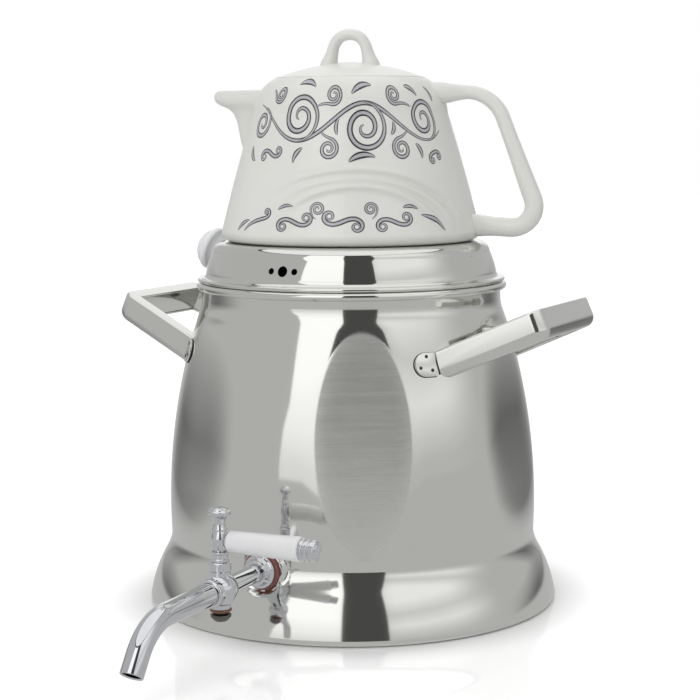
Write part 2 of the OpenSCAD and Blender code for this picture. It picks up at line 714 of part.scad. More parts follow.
// Beak of the spout, thinned by inset and hollowed under its lip
module beak(inset) difference() {
  hull() {
    translate([-beak_reach + beak_tip_r, 0, beak_z - beak_tip_h + inset])
      cylinder(r = beak_tip_r - inset, h = beak_tip_h - 2 * inset, $fn = 32);
    translate([-pot_top_r + beak_root_r, 0, beak_z - beak_tip_h + inset])
      cylinder(r = beak_root_r - inset, h = beak_tip_h - 2 * inset, $fn = 32);
    translate([-pot_top_r + beak_root_r / 2, 0, beak_z - beak_root_h + beak_low_r])
      sphere(r = beak_low_r - inset, $fn = 32);
  }
  translate([-beak_reach - beak_tip_r, 0, beak_z - beak_tip_h - beak_hollow_r]) rotate([90, 0, 0])
    cylinder(r = beak_hollow_r + inset, h = 4 * beak_root_r, center = true);
}

module teapot_spout() color("ivory") pot_side() difference() {
  beak(0);
  beak(beak_wall);
  translate([-beak_reach + beak_tip_r, 0, beak_z - beak_wall - over])
    cylinder(r = beak_tip_r - beak_wall / 2, h = beak_wall + 2 * over);
  pot_form(seat_gap);
}

// Tube along a path in the XZ plane: half_t across the path, half_d along Y
module loop_tube(path, half_t, half_d, sides = 14) {
  last = len(path) - 1;
  pts = [for (i = [0:last]) let (d = path[min(i + 1, last)] - path[max(i - 1, 0)], t = d / norm(d))
    for (k = [0:sides - 1]) let (a = 360 * k / sides)
      [path[i].x - t.y * half_t * cos(a), half_d * sin(a), path[i].y + t.x * half_t * cos(a)]];
  sheets = [for (i = [0:last - 1], k = [0:sides - 1]) let (m = (k + 1) % sides, a = i * sides)
    each [[a + k, a + m, a + sides + k], [a + m, a + sides + m, a + sides + k]]];
  ends = [[for (k = [sides - 1:-1:0]) k], [for (k = [0:sides - 1]) last * sides + k]];
  polyhedron(pts, concat(sheets, ends));
}

module teapot_handle() color("ivory") pot_side() difference() {
  top_z = pot_h - loop_drop;
  corner = [loop_reach - loop_lean, top_z];
  heel = [loop_reach - loop_heel_in, loop_heel_z];
  path = rounded_path(
    [[pot_rim_r, top_z - over], corner, heel, [pot_r - loop_root_in, heel.y + 2 * over]],
    [loop_corner_r, loop_corner_r]);
  loop_tube(path, loop_t / 2, loop_depth / 2);
  pot_form(seat_gap);
}

// Open path with its middle corners rounded
function rounded_path(pts, rs) = rounded(pts, concat([0], rs, [0]), 7);

// Solid form of the teapot lid's disc and dome, grown by grow
module dome_form(grow) {
  rotate_extrude() polygon(concat(
    [[0, lid_seat_z], [lid_rim_r, lid_seat_z]],
    arc([lid_rim_r, lid_edge_z + grow], [0, dome_z + grow], dome_bulge, 8)));
}

module teapot_lid() color("ivory") pot_side() {
  dome_form(0);
  translate([0, 0, lid_seat_z - lid_plug_h]) ring(lid_plug_r - lid_plug_wall, lid_plug_r, lid_plug_h);
}

module teapot_lid_loop() color("ivory") pot_side() difference() {
  crown = dome_z + lid_loop_h - lid_loop_t / 2;
  foot = lid_loop_w / 2 - lid_loop_t / 2;
  loop_tube(concat(
    [[-foot - lid_loop_flare, dome_z - lid_loop_sink], [-foot - over, dome_z + over]],
    [for (a = [180:-15:0]) [foot * cos(a), crown - lid_loop_arch + lid_loop_arch * sin(a)]],
    [[foot + over, dome_z + over], [foot + lid_loop_flare, dome_z - lid_loop_sink]]),
    lid_loop_t / 2, lid_loop_depth / 2);
  dome_form(seat_gap);
}

kettle_shell();
kettle_floor();
heat_spreader();
base_cap();
handle_strap(-1);  // left_handle_strap
handle_lining(-1);  // left_handle_lining
handle_lugs(-1);  // left_handle_lugs
lug_welds(-1);  // left_lug_welds
lining_screws(-1);  // left_lining_screws
handle_strap(1);  // right_handle_strap
handle_lining(1);  // right_handle_lining
handle_lugs(1);  // right_handle_lugs
lug_welds(1);  // right_lug_welds
lining_screws(1);  // right_lining_screws
tap_shank();
tap_flange();
outer_washer();
inner_washer();
lock_nut();
tap_body();
bonnet_nut();
gland_packing();
spout_collar();
tap_spout();
tap_plug();
stem_collar();
lever_hub();
plug_finial();
lever_arm();
lever_ferrule();
lever_grip();
lever_end_cap();
plug_washer();
plug_nut();
kettle_lid();
lid_knob();
knob_washer();
knob_screw();
teapot_body();
teapot_spout();
teapot_handle();
teapot_lid();
teapot_lid_loop();
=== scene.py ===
"""A hob kettle with a plug tap, a lift-off lid and a teapot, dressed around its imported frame."""
import math

import bmesh
import bpy
import numpy as np
from mathutils import Matrix, Vector


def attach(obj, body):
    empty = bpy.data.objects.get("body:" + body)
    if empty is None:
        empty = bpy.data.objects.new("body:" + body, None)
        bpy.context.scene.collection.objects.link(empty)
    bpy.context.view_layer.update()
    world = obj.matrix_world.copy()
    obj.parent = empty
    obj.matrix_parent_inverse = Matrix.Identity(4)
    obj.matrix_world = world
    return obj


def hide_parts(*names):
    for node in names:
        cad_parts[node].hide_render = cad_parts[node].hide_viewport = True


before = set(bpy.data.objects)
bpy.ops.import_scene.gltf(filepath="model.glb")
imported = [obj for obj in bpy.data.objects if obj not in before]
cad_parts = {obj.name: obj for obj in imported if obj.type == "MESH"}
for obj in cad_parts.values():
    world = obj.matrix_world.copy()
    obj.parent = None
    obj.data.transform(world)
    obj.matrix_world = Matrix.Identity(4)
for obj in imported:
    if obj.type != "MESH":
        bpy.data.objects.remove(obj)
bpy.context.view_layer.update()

# Sizes are in millimetres and meshes in metres
MM = 0.001

# Kettle body
FOOT_R, FOOT_ROUND, HEM_IN = 118.0, 2.2, 4.5
FLARE_R, FLARE_Z, FLARE_BOW = 109.5, 26.5, 1.1
WAIST_R, WAIST_Z, WAIST_BOW, FOOT_LAP = 105.4, 41.0, 0.9, 0.8
SHOULDER_R, SHOULDER_Z, BARREL_BOW = 88.1, 164.0, 5.7
NECK_R, RIM_Z, BEAD_R, WALL = 85.7, 181.0, 2.3, 1.2
PANELS, PANEL_LOW, PANEL_HIGH, PANEL_DEPTH, PANEL_SOFT, PLAIN_SOFT = 6, 46.0, 162.0, 3.9, 2.4, 3.2
PANEL_FADE, PLAIN_LIFT = 6.0, 26.0
CREASE_SOFT, NECK_SOFT = 0.7, 1.2
TAP_SEAT, TAP_Z, SEAT_R, SEAT_FADE = 107.5, 36.5, 11.2, 13.8

# Kettle lid
LID_Z, LID_TOP, LID_T = 183.4, 206.1, 1.0
LID_SKIRT_R, LID_SKIRT_H = 84.1, 9.0
LID_RIM_R, LID_RIM_H = 88.2, 2.4
LID_WALL_R, LID_WALL_Z = 83.4, 188.8
LID_BROW_R, LID_BROW_Z, LID_FLAT_R = 79.6, 200.4, 73.0
STEAM_R, LIP_H = 52.0, 5.0
VENT_Z, VENT_R, SIDE_VENT_R, VENT_PITCH = 193.8, 2.85, 1.7, 7.0
KNOB_Z, KNOB_LEN, KNOB_R, KNOB_BASE, KNOB_NECK_R = 195.6, 20.0, 13.0, 2.1, 5.9

# Side handles
ROOT_X, ROOT_Z, ROOT_HALF, ROOT_IN = 83.0, 146.0, 52.0, -10.0
GRIP_X, GRIP_HALF, RISE = 133.0, 41.0, math.radians(23.7)
BAND_H, BAND_T, STRAP_T, LINING_T, CORNER_R = 16.0, 8.4, 1.2, 1.1, 9.0
LUG_W, LUG_LEN, LUG_T, LUG_Z, LUG_GAP = 13.0, 12.5, 1.4, 144.6, math.radians(2.2)
WELD_SPOTS = ((0.6, 4.4), (-3.4, -1.6), (3.4, -3.1))
WELD_R, WELD_H = 1.0, 0.4

# Tap
PLUG_Y, BALL_R, BOSS_R, BOSS_TOP, PLUG_R = -151.0, 9.3, 5.4, 9.7, 4.55
SHANK_R, WAY_R, WASHER_R, WASHER_T, FLANGE_H = 4.9, 3.0, 10.5, 2.4, 6.4
SPOUT_R, SPOUT_WALL, SPOUT_RUN, BEND_R, BEND, SPOUT_TAIL = 5.9, 1.2, 44.0, 30.0, math.radians(56), 11.0
COLLAR_FROM, COLLAR_R, COLLAR_H = 7.29, 7.4, 4.6
STEM_COLLAR_Z, HUB_Z, HUB_H = 15.0, 20.3, 10.6
LEVER_Z, FINIAL_Z, FINIAL_H = 25.6, 31.0, 12.0
GRIP_FROM, GRIP_LEN, GRIP_R, END_CAP_H = 5.8, 41.5, 6.4, 9.0

# Teapot, in its own frame that stands on the lid with the handle along +X
POT_Z, POT_TURN = 206.2, math.radians(14)
POT_R, POT_TOP_R, POT_CONE_H, POT_H, POT_RIM_R, POT_WALL = 74.0, 55.6, 72.0, 91.5, 43.4, 4.0
POT_FOOT_ROUND, POT_FOOT_IN, SHOULDER_BOW = 6.0, 7.0, 3.0
LEDGE_R, LEDGE_Z = 38.6, 88.6
BEAK_Z = 85.4
LOOP_T, LOOP_DEPTH = 8.6, 14.0
DOME_TOP, LID_EDGE_R = 100.9, 42.8
LID_LOOP_TOP, LID_LOOP_T, LID_LOOP_DEPTH = 119.7, 6.4, 9.4
RIBBON_T, RIBBON_STEP, WRAP_R, WRAP_REACH = 0.1, 0.01, 66.0, 110.0
PRINT_SIDES = (("front", -66.0), ("back", 114.0))


def smooth_step(low, high, value):
    """0 below low, 1 above high, and a smooth rise between."""
    t = np.clip((value - low) / (high - low), 0.0, 1.0)
    return t * t * (3 - 2 * t)


def soft_max(a, b, soft):
    """The larger of a and b, with the corner between them eased over soft."""
    ease = np.maximum(soft - np.abs(a - b), 0.0)
    return np.maximum(a, b) + ease * ease / (4 * soft)


def soft_min(a, b, soft):
    """The smaller of a and b, eased the same way."""
    return -soft_max(-a, -b, soft)


def arc(p, q, bow, count):
    """Points from p to q on an arc that bows out by bow to the right."""
    p, q = np.array(p, float), np.array(q, float)
    chord = q - p
    length = np.hypot(*chord)
    along = chord / length
    right = np.array((along[1], -along[0]))
    radius = (length * length / 4 + bow * bow) / (2 * abs(bow))
    half = math.asin(min(1.0, length / 2 / radius))
    turns = np.linspace(-half, half, count + 1)
    return [tuple((p + q) / 2 + along * radius * math.sin(t)
                  + right * math.copysign(radius * (math.cos(t) - math.cos(half)), bow)) for t in turns]


def filleted(corners, count=5, closed=True):
    """A line through corners given as (x, y, radius), with each corner rounded."""
    line = []
    last = len(corners) - 1
    for i, (x, y, radius) in enumerate(corners):
        here = Vector((x, y))
        if radius <= 0 or (not closed and i in (0, last)):
            line.append((x, y))
            continue
        before = (Vector(corners[i - 1][:2]) - here).normalized()
        after = (Vector(corners[(i + 1) % len(corners)][:2]) - here).normalized()
        half = before.angle(after) / 2
        centre = here + (before + after).normalized() * (radius / math.sin(half))
        start = here + before * (radius / math.tan(half)) - centre
        end = here + after * (radius / math.tan(half)) - centre
        for k in range(count + 1):
            spot = start.lerp(end, k / count).normalized() * radius + centre
            line.append((spot.x, spot.y))
    return line


# Shader wires


class Wire:
    """An output socket in a node tree. Sums and products of wires add Math nodes."""

    def __init__(self, tree, socket=None):
        self.tree, self.socket = tree, socket

    def node(self, kind, settings=None, sockets=None, out=0):
        """Adds a node. Its settings are set first, then its sockets get their values or links."""
        made = self.tree.nodes.new(kind)
        for key, value in (settings or {}).items():
            if key == "stops":
                lay_stops(made.color_ramp, value)
            else:
                setattr(made, key, value)
        for key, value in (sockets or {}).items():
            if isinstance(value, Wire):
                self.tree.links.new(value.socket, made.inputs[key])
            else:
                made.inputs[key].default_value = value
        return Wire(self.tree, made.outputs[out])

    def maths(self, operation, a, b=0.0):
        return self.node("ShaderNodeMath", {"operation": operation}, {0: a, 1: b})

    def __add__(self, other):
        return self.maths("ADD", self, other)

    __radd__ = __add__

    def __sub__(self, other):
        return self.maths("SUBTRACT", self, other)

    def __rsub__(self, other):
        return self.maths("SUBTRACT", other, self)

    def __mul__(self, other):
        return self.maths("MULTIPLY", self, other)

    __rmul__ = __mul__

    def into(self, node, name):
        """Links this wire to a named socket of a node."""
        self.tree.links.new(self.socket, node.inputs[name])


def lay_stops(ramp, stops):
    """Lays (position, colour) stops on a colour ramp."""
    ramp.elements.remove(ramp.elements[1])
    for i, (position, colour) in enumerate(stops):
        stop = ramp.elements[0] if i == 0 else ramp.elements.new(position)
        stop.position, stop.color = position, colour


# Finishes


def finish(name, colour, roughness, **fixed):
    """A material with a Principled shader whose unvarying values sit on its own sockets."""
    material = bpy.data.materials.new(name)
    material.use_nodes = True
    shader = material.node_tree.nodes["Principled BSDF"]
    shader.inputs["Base Color"].default_value = (*colour, 1.0)
    shader.inputs["Roughness"].default_value = roughness
    for key, value in fixed.items():
        shader.inputs[key.replace("_", " ").title()].default_value = value
    return material, Wire(material.node_tree), shader


def object_noise(start, scale, detail=2.0):
    """Noise over Object coordinates, with a scale for each axis in cycles a metre."""
    place = start.node("ShaderNodeTexCoord", out="Object")
    spread = start.node("ShaderNodeVectorMath", {"operation": "MULTIPLY"}, {0: place, 1: scale})
    return start.node("ShaderNodeTexNoise", None, {"Vector": spread, "Scale": 1.0, "Detail": detail})


def axis(start, vector, name):
    """One axis of a vector wire."""
    return start.node("ShaderNodeSeparateXYZ", None, {0: vector}, name)


def smooth_rise(start, value, low, high, least=0.0, most=1.0):
    """A smooth rise from least, where a wire's value is low, to most, where it is high."""
    return start.node("ShaderNodeMapRange", {"interpolation_type": "SMOOTHSTEP"}, {
        "Value": value, "From Min": low, "From Max": high, "To Min": least, "To Max": most})


def tint(start, share, low, high):
    """A colour between low and high."""
    return start.node("ShaderNodeMix", {"data_type": "RGBA"},
                      {0: share, 6: (*low, 1.0), 7: (*high, 1.0)}, out=2)


def bump(start, height, strength, distance):
    """A bump of a height wire, with its distance in metres."""
    return start.node("ShaderNodeBump", None, {"Height": height, "Strength": strength, "Distance": distance})


def polished_steel(name, colour, gloss, satin=0.0):
    """Polished sheet steel with faint wiping marks, and a brushed satin where a panel is pressed in, painted
    lighter towards its bottom.
    """
    material, start, shader = finish(name, colour, gloss, metallic=1.0)
    marks = object_noise(start, (26, 26, 26), 3.0)
    rough = gloss + (marks - 0.45) * (gloss * 0.5)
    if satin:
        depth = start.node("ShaderNodeAttribute", {"attribute_name": "panel_depth"}, out="Fac")
        panel = smooth_rise(start, depth, -0.3, 0.15)
        brush, strokes = object_noise(start, (34, 34, 1250), 5.0), object_noise(start, (15, 15, 560), 3.0)
        rough = rough + panel * (satin + (brush - 0.5) * 0.22)
        bump(start, (brush + strokes * 0.5) * panel, 0.34, 0.00025).into(shader, "Normal")
        matt = tuple(c * 0.66 for c in colour)
        height = axis(start, start.node("ShaderNodeTexCoord", out="Object"), "Z")
        # Painted light: the darker brushed tint fades out towards the panel's bottom, so the lower panel is
        # painted lighter
        painted_shade_by_height = smooth_rise(start, height, 0.05, 0.14)
        share = 0.74 + (strokes - 0.5) * 0.9 + (brush - 0.5) * 0.6
        tint(start, panel * painted_shade_by_height * share, colour, matt).into(shader, "Base Color")
    else:
        dull = tuple(c * 0.95 for c in colour)
        tint(start, object_noise(start, (9, 9, 14)), colour, dull).into(shader, "Base Color")
    rough.into(shader, "Roughness")
    return material


def chrome_plate():
    """Mirror chrome with faint finger haze."""
    material, start, shader = finish("chrome_plate", (0.74, 0.75, 0.77), 0.03, metallic=1.0)
    haze = object_noise(start, (120, 120, 120), 3.0)
    (0.018 + haze * 0.035).into(shader, "Roughness")
    tint(start, haze, (0.76, 0.77, 0.79), (0.69, 0.70, 0.73)).into(shader, "Base Color")
    return material


def turned_metal(name, colour, roughness, ring_scale=(300, 300, 2600)):
    """Bare machined metal with fine tool rings."""
    material, start, shader = finish(name, colour, roughness, metallic=1.0)
    rings = object_noise(start, ring_scale)
    (rings * 0.2 + (roughness - 0.1)).into(shader, "Roughness")
    tint(start, rings, colour, tuple(c * 0.8 for c in colour)).into(shader, "Base Color")
    bump(start, rings, 0.15, 0.0001).into(shader, "Normal")
    return material


def pot_glaze():
    """White porcelain glaze with a faint warm mottle and an uneven gloss."""
    material, start, shader = finish(
        "pot_glaze", (0.74, 0.745, 0.71), 0.3, coat_weight=0.25, coat_roughness=0.1)
    mottle = object_noise(start, (35, 35, 35), 3.0)
    tint(start, mottle, (0.76, 0.765, 0.73), (0.73, 0.735, 0.69)).into(shader, "Base Color")
    (0.26 + mottle * 0.12).into(shader, "Roughness")
    bump(start, object_noise(start, (160, 160, 160)), 0.05, 0.0004).into(shader, "Normal")
    return material


def scroll_print():
    """Fired grey print, dark along its edges and paler along its middle."""
    material, start, shader = finish(
        "scroll_print", (0.3, 0.3, 0.32), 0.25, coat_weight=0.4, coat_roughness=0.06)
    across = start.node("ShaderNodeAttribute", {"attribute_name": "across"}, out="Fac")
    edge = start.maths("ABSOLUTE", across)
    grain = object_noise(start, (900, 900, 900))
    ink = start.node("ShaderNodeValToRGB", {"stops": (
        (0.0, (0.46, 0.46, 0.48, 1)), (0.42, (0.42, 0.42, 0.44, 1)),
        (0.56, (0.03, 0.03, 0.04, 1)), (1.0, (0.02, 0.02, 0.025, 1)))}, {0: edge + (grain - 0.5) * 0.1})
    ink.into(shader, "Base Color")
    return material


def white_body(name, colour, roughness, coat):
    """Glossy white plastic or ceramic with a slight unevenness."""
    material, start, shader = finish(name, colour, roughness, coat_weight=coat, coat_roughness=0.05)
    cloud = object_noise(start, (70, 70, 70))
    tint(start, cloud, colour, tuple(c * 0.95 for c in colour)).into(shader, "Base Color")
    (roughness - 0.04 + cloud * 0.08).into(shader, "Roughness")
    bump(start, object_noise(start, (260, 260, 260)), 0.04, 0.0003).into(shader, "Normal")
    return material


def silicone(name):
    """Matt red-brown silicone with dust in its pores."""
    material, start, shader = finish(name, (0.25, 0.055, 0.04), 0.5)
    dust = object_noise(start, (420, 420, 420), 4.0)
    tint(start, dust, (0.16, 0.045, 0.038), (0.28, 0.11, 0.095)).into(shader, "Base Color")
    (0.38 + dust * 0.25).into(shader, "Roughness")
    bump(start, dust, 0.2, 0.0002).into(shader, "Normal")
    return material


KETTLE_STEEL = polished_steel("kettle_steel", (0.78, 0.783, 0.752), 0.07, satin=0.34)
LID_STEEL = polished_steel("lid_steel", (0.78, 0.783, 0.752), 0.05)
HANDLE_STEEL = polished_steel("handle_steel", (0.80, 0.805, 0.775), 0.10)
BASE_STEEL = turned_metal("base_steel", (0.62, 0.62, 0.62), 0.30, (40, 40, 900))
CHROME = chrome_plate()
# Dark colour of the spot welds, also used for the painted shade lines round the lugs and at the strap ends
WELD_AND_SHADE_MARK = turned_metal("weld_and_shade_mark", (0.09, 0.085, 0.08), 0.45)
ZINC = turned_metal("zinc", (0.19, 0.18, 0.17), 0.35)
BRASS = turned_metal("brass", (0.40, 0.31, 0.18), 0.34)
COPPER = turned_metal("copper", (0.34, 0.17, 0.12), 0.38)
ALUMINIUM = turned_metal("aluminium", (0.70, 0.71, 0.72), 0.35, (40, 40, 900))
SILICONE = silicone("silicone")
PACKING = white_body("packing", (0.78, 0.76, 0.70), 0.6, 0.0)
KNOB_WHITE = white_body("knob_white", (0.86, 0.86, 0.89), 0.22, 0.3)
GRIP_WHITE = white_body("grip_white", (0.80, 0.80, 0.81), 0.16, 0.5)
GLAZE = pot_glaze()
PRINT = scroll_print()


# Meshes


def linked(name, data):
    """Links data to the scene as an object at the origin."""
    made = bpy.data.objects.new(name, data)
    bpy.context.scene.collection.objects.link(made)
    return made


def placed(name, mesh, material, sharp=32):
    """Links a mesh as an object at the origin, shaded smooth with its hard edges kept."""
    if material is not None:
        mesh.materials.clear()
        mesh.materials.append(material)
    mesh.shade_smooth()
    mesh.set_sharp_from_angle(angle=math.radians(sharp))
    return linked(name, mesh)


def from_bmesh(name, work, material, sharp=32):
    """Closes a bmesh with its normals outwards and links it."""
    bmesh.ops.recalc_face_normals(work, faces=work.faces)
    mesh = bpy.data.meshes.new(name)
    work.to_mesh(mesh)
    work.free()
    return placed(name, mesh, material, sharp)


def spun(name, line, material, place=Matrix(), steps=96, closed=False, sharp=32):
    """Turns a line of (radius, height) points round Z. A point on the axis becomes a pole."""
    work = bmesh.new()
    rings = []
    for radius, height in line:
        if radius < 1e-6:
            rings.append([work.verts.new(place @ Vector((0, 0, height)) * MM)])
            continue
        turns = (2 * math.pi * i / steps for i in range(steps))
        spots = [Vector((radius * math.cos(t), radius * math.sin(t), height)) for t in turns]
        rings.append([work.verts.new(place @ spot * MM) for spot in spots])
    pairs = list(zip(rings, rings[1:])) + ([(rings[-1], rings[0])] if closed else [])
    for low, high in pairs:
        for i in range(steps):
            j = (i + 1) % steps
            corners = [low[i % len(low)], low[j % len(low)], high[j % len(high)], high[i % len(high)]]
            work.faces.new(list(dict.fromkeys(corners)))
    return from_bmesh(name, work, material, sharp)


def show(made, body, slot, *nodes):
    """Says which body a piece rides on and which nodes it stands for. Its slot is not used."""
    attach(made, body)
    if nodes:
        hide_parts(*nodes)
    return made


# Geometry Nodes


def open_tree(name, inputs):
    """A geometry tree with named inputs: returns the tree, the input identifiers and their wires."""
    tree = bpy.data.node_groups.new(name, "GeometryNodeTree")
    face = tree.interface
    face.new_socket("Geometry", in_out="INPUT", socket_type="NodeSocketGeometry")
    keys = {label: face.new_socket(label, in_out="INPUT", socket_type="NodeSocket" + kind).identifier
            for label, kind in inputs.items()}
    face.new_socket("Geometry", in_out="OUTPUT", socket_type="NodeSocketGeometry")
    source = tree.nodes.new("NodeGroupInput")
    return tree, keys, {socket.name: Wire(tree, socket) for socket in source.outputs if socket.name}


def close_tree(tree, geometry, material):
    """Ends a tree in Realize Instances and Set Material."""
    real = geometry.node("GeometryNodeRealizeInstances", None, {0: geometry})
    coated = real.node("GeometryNodeSetMaterial", None, {"Geometry": real, "Material": material})
    coated.into(tree.nodes.new("NodeGroupOutput"), "Geometry")


def swept_tree():
    """A section swept along a path, laid in place, and cut off by another form where Cut is set."""
    tree, keys, given = open_tree("swept_section", {
        "Section": "Object", "Caps": "Bool", "Place": "Vector", "Turn": "Vector", "Cut": "Bool",
        "Cutter": "Object", "Material": "Material"})
    start = Wire(tree)
    section = start.node("GeometryNodeObjectInfo", None, {"Object": given["Section"]}, "Geometry")
    girth = start.node("GeometryNodeInputRadius")
    tube = start.node("GeometryNodeCurveToMesh", None, {
        "Curve": given["Geometry"], "Profile Curve": section, "Scale": girth, "Fill Caps": given["Caps"]})
    turn = start.node("FunctionNodeEulerToRotation", None, {0: given["Turn"]})
    laid = start.node("GeometryNodeTransform", None, {
        "Geometry": tube, "Translation": given["Place"], "Rotation": turn})
    cutter = start.node("GeometryNodeObjectInfo", None, {"Object": given["Cutter"]}, "Geometry")
    cut = start.node("GeometryNodeMeshBoolean", {"operation": "DIFFERENCE"}, {
        "Mesh 1": laid, "Mesh 2": cutter})
    kept = start.node("GeometryNodeSwitch", {"input_type": "GEOMETRY"}, {
        "Switch": given["Cut"], "False": laid, "True": cut})
    close_tree(tree, kept, given["Material"])
    return tree, keys


def pierced_tree():
    """A row of three round holes through a mesh: a middle one and two smaller ones."""
    tree, keys, given = open_tree("pierced_row", {
        "Pitch": "Float", "Middle Radius": "Float", "Side Radius": "Float", "Place": "Vector",
        "Depth": "Float", "Material": "Material"})
    start = Wire(tree)
    pitch = given["Pitch"]
    first = start.node("ShaderNodeCombineXYZ", None, {"X": pitch * -1.0})
    step = start.node("ShaderNodeCombineXYZ", None, {"X": pitch})
    row = start.node("GeometryNodeMeshLine", None, {"Count": 3, "Start Location": first, "Offset": step})
    punch = start.node("GeometryNodeMeshCylinder", None, {
        "Vertices": 48, "Radius": 1.0, "Depth": given["Depth"]}, "Mesh")
    index = start.node("GeometryNodeInputIndex")
    middle = start.maths("COMPARE", index, 1.0)
    radius = given["Side Radius"] + middle * (given["Middle Radius"] - given["Side Radius"])
    size = start.node("ShaderNodeCombineXYZ", None, {"X": radius, "Y": radius, "Z": 1.0})
    turn = start.node("FunctionNodeEulerToRotation", None, {0: (math.pi / 2, 0.0, 0.0)})
    punches = start.node("GeometryNodeInstanceOnPoints", None, {
        "Points": row, "Instance": punch, "Rotation": turn, "Scale": size})
    laid = start.node("GeometryNodeTransform", None, {"Geometry": punches, "Translation": given["Place"]})
    solid = start.node("GeometryNodeRealizeInstances", None, {0: laid})
    cut = start.node("GeometryNodeMeshBoolean", {"operation": "DIFFERENCE", "solver": "MANIFOLD"}, {
        "Mesh 1": given["Geometry"], "Mesh 2": solid})
    close_tree(tree, cut, given["Material"])
    return tree, keys


def set_out_tree():
    """A copy of one small piece on every point, turned so that its Z follows the point's facing."""
    tree, keys, given = open_tree("set_out", {"Piece": "Object", "Material": "Material"})
    start = Wire(tree)
    shape = start.node("GeometryNodeObjectInfo", None, {"Object": given["Piece"]}, "Geometry")
    facing = start.node("GeometryNodeInputNamedAttribute", {"data_type": "FLOAT_VECTOR"}, {"Name": "facing"})
    turn = start.node("FunctionNodeAlignRotationToVector", {"axis": "Z"}, {"Vector": facing})
    copies = start.node("GeometryNodeInstanceOnPoints", None, {
        "Points": given["Geometry"], "Instance": shape, "Rotation": turn})
    close_tree(tree, copies, given["Material"])
    return tree, keys


def wrapped_tree():
    """Flat ribbons wrapped round Z and dropped onto a body, raised by their own thickness."""
    tree, keys, given = open_tree("wrapped_ribbon", {
        "Section": "Object", "Body": "Object", "Wrap Radius": "Float", "Reach": "Float", "Turn": "Float",
        "Material": "Material"})
    start = Wire(tree)
    here = start.node("GeometryNodeInputPosition")

    def tagged(geometry, name, way):
        """Keeps one axis of each point's place under a name."""
        return start.node("GeometryNodeStoreNamedAttribute", {"data_type": "FLOAT", "domain": "POINT"}, {
            "Geometry": geometry, "Name": name, "Value": axis(start, here, way)})

    def recalled(name):
        """What was kept under a name."""
        return start.node("GeometryNodeInputNamedAttribute", {"data_type": "FLOAT"}, {"Name": name})

    section = start.node("GeometryNodeObjectInfo", None, {"Object": given["Section"]}, "Geometry")
    raised = tagged(tagged(section, "across", "X"), "level", "Y")
    paths = tagged(given["Geometry"], "layer", "Z")
    girth = start.node("GeometryNodeInputRadius")
    ribbon = start.node("GeometryNodeCurveToMesh", None, {
        "Curve": paths, "Profile Curve": raised, "Scale": girth, "Fill Caps": True})
    along, height = axis(start, here, "X"), axis(start, here, "Y")
    angle = start.maths("DIVIDE", along, given["Wrap Radius"]) + given["Turn"]
    east, north = start.maths("COSINE", angle), start.maths("SINE", angle)
    outside = start.node("ShaderNodeCombineXYZ", None, {
        "X": east * given["Reach"], "Y": north * given["Reach"], "Z": height})
    inwards = start.node("ShaderNodeCombineXYZ", None, {"X": east * -1.0, "Y": north * -1.0})
    target = start.node("GeometryNodeObjectInfo", None, {"Object": given["Body"]}, "Geometry")
    ray = start.node("GeometryNodeRaycast", None, {
        "Target Geometry": target, "Source Position": outside, "Ray Direction": inwards,
        "Ray Length": given["Reach"]}, "Hit Position")
    normal = Wire(tree, ray.socket.node.outputs["Hit Normal"])
    lift = recalled("level") * (-RIBBON_T * MM) + recalled("layer")
    rise = start.node("ShaderNodeVectorMath", {"operation": "SCALE"}, {0: normal, "Scale": lift})
    dropped = start.node("GeometryNodeSetPosition", None, {
        "Geometry": ribbon, "Position": ray, "Offset": rise})
    close_tree(tree, dropped, given["Material"])
    return tree, keys


def grown(name, start, tree, values, sharp=32):
    """Runs a geometry tree on an object and keeps the result as a plain mesh."""
    group, keys = tree
    modifier = start.modifiers.new(name, "NODES")
    modifier.node_group = group
    for label, value in values.items():
        modifier[keys[label]] = value
    graph = bpy.context.evaluated_depsgraph_get()
    mesh = bpy.data.meshes.new_from_object(start.evaluated_get(graph))
    start.modifiers.remove(modifier)
    bpy.data.objects.remove(start)
    return placed(name, mesh, None, sharp)


def applied(made, kind, **settings):
    """Applies one modifier to a mesh object."""
    modifier = made.modifiers.new(kind, kind)
    for key, value in settings.items():
        setattr(modifier, key, value)
    graph = bpy.context.evaluated_depsgraph_get()
    mesh = bpy.data.meshes.new_from_object(made.evaluated_get(graph))
    made.modifiers.remove(modifier)
    made.data = mesh
    return made


def drawn(name, lines, closed=False):
    """A curve object of straight-stepped lines of (x, y, z, girth) points in metres."""
    curve = bpy.data.curves.new(name, "CURVE")
    curve.dimensions = "3D"
    curve.twist_mode = "Z_UP"
    for line in lines:
        spline = curve.splines.new("POLY")
        spline.points.add(len(line) - 1)
        for point, (x, y, z, girth) in zip(spline.points, line):
            point.co = (x, y, z, 1.0)
            point.radius = girth
        spline.use_cyclic_u = closed
    return linked(name, curve)


def section_curve(name, line, scale=MM):
    """A closed section from counterclockwise (right, up) points. A sweep lays its second axis downwards."""
    return drawn(name, [[(x * scale, -y * scale, 0.0, 1.0) for x, y in reversed(line)]], closed=True)


def points_object(name, spots):
    """A mesh of loose points with a facing for each, from (place, facing) pairs in millimetres."""
    mesh = bpy.data.meshes.new(name)
    mesh.from_pydata([tuple(Vector(place) * MM) for place, _ in spots], [], [])
    facing = mesh.attributes.new("facing", "FLOAT_VECTOR", "POINT")
    for i, (_, way) in enumerate(spots):
        facing.data[i].vector = way
    return linked(name, mesh)


SWEPT, PIERCED, SET_OUT, WRAPPED = swept_tree(), pierced_tree(), set_out_tree(), wrapped_tree()


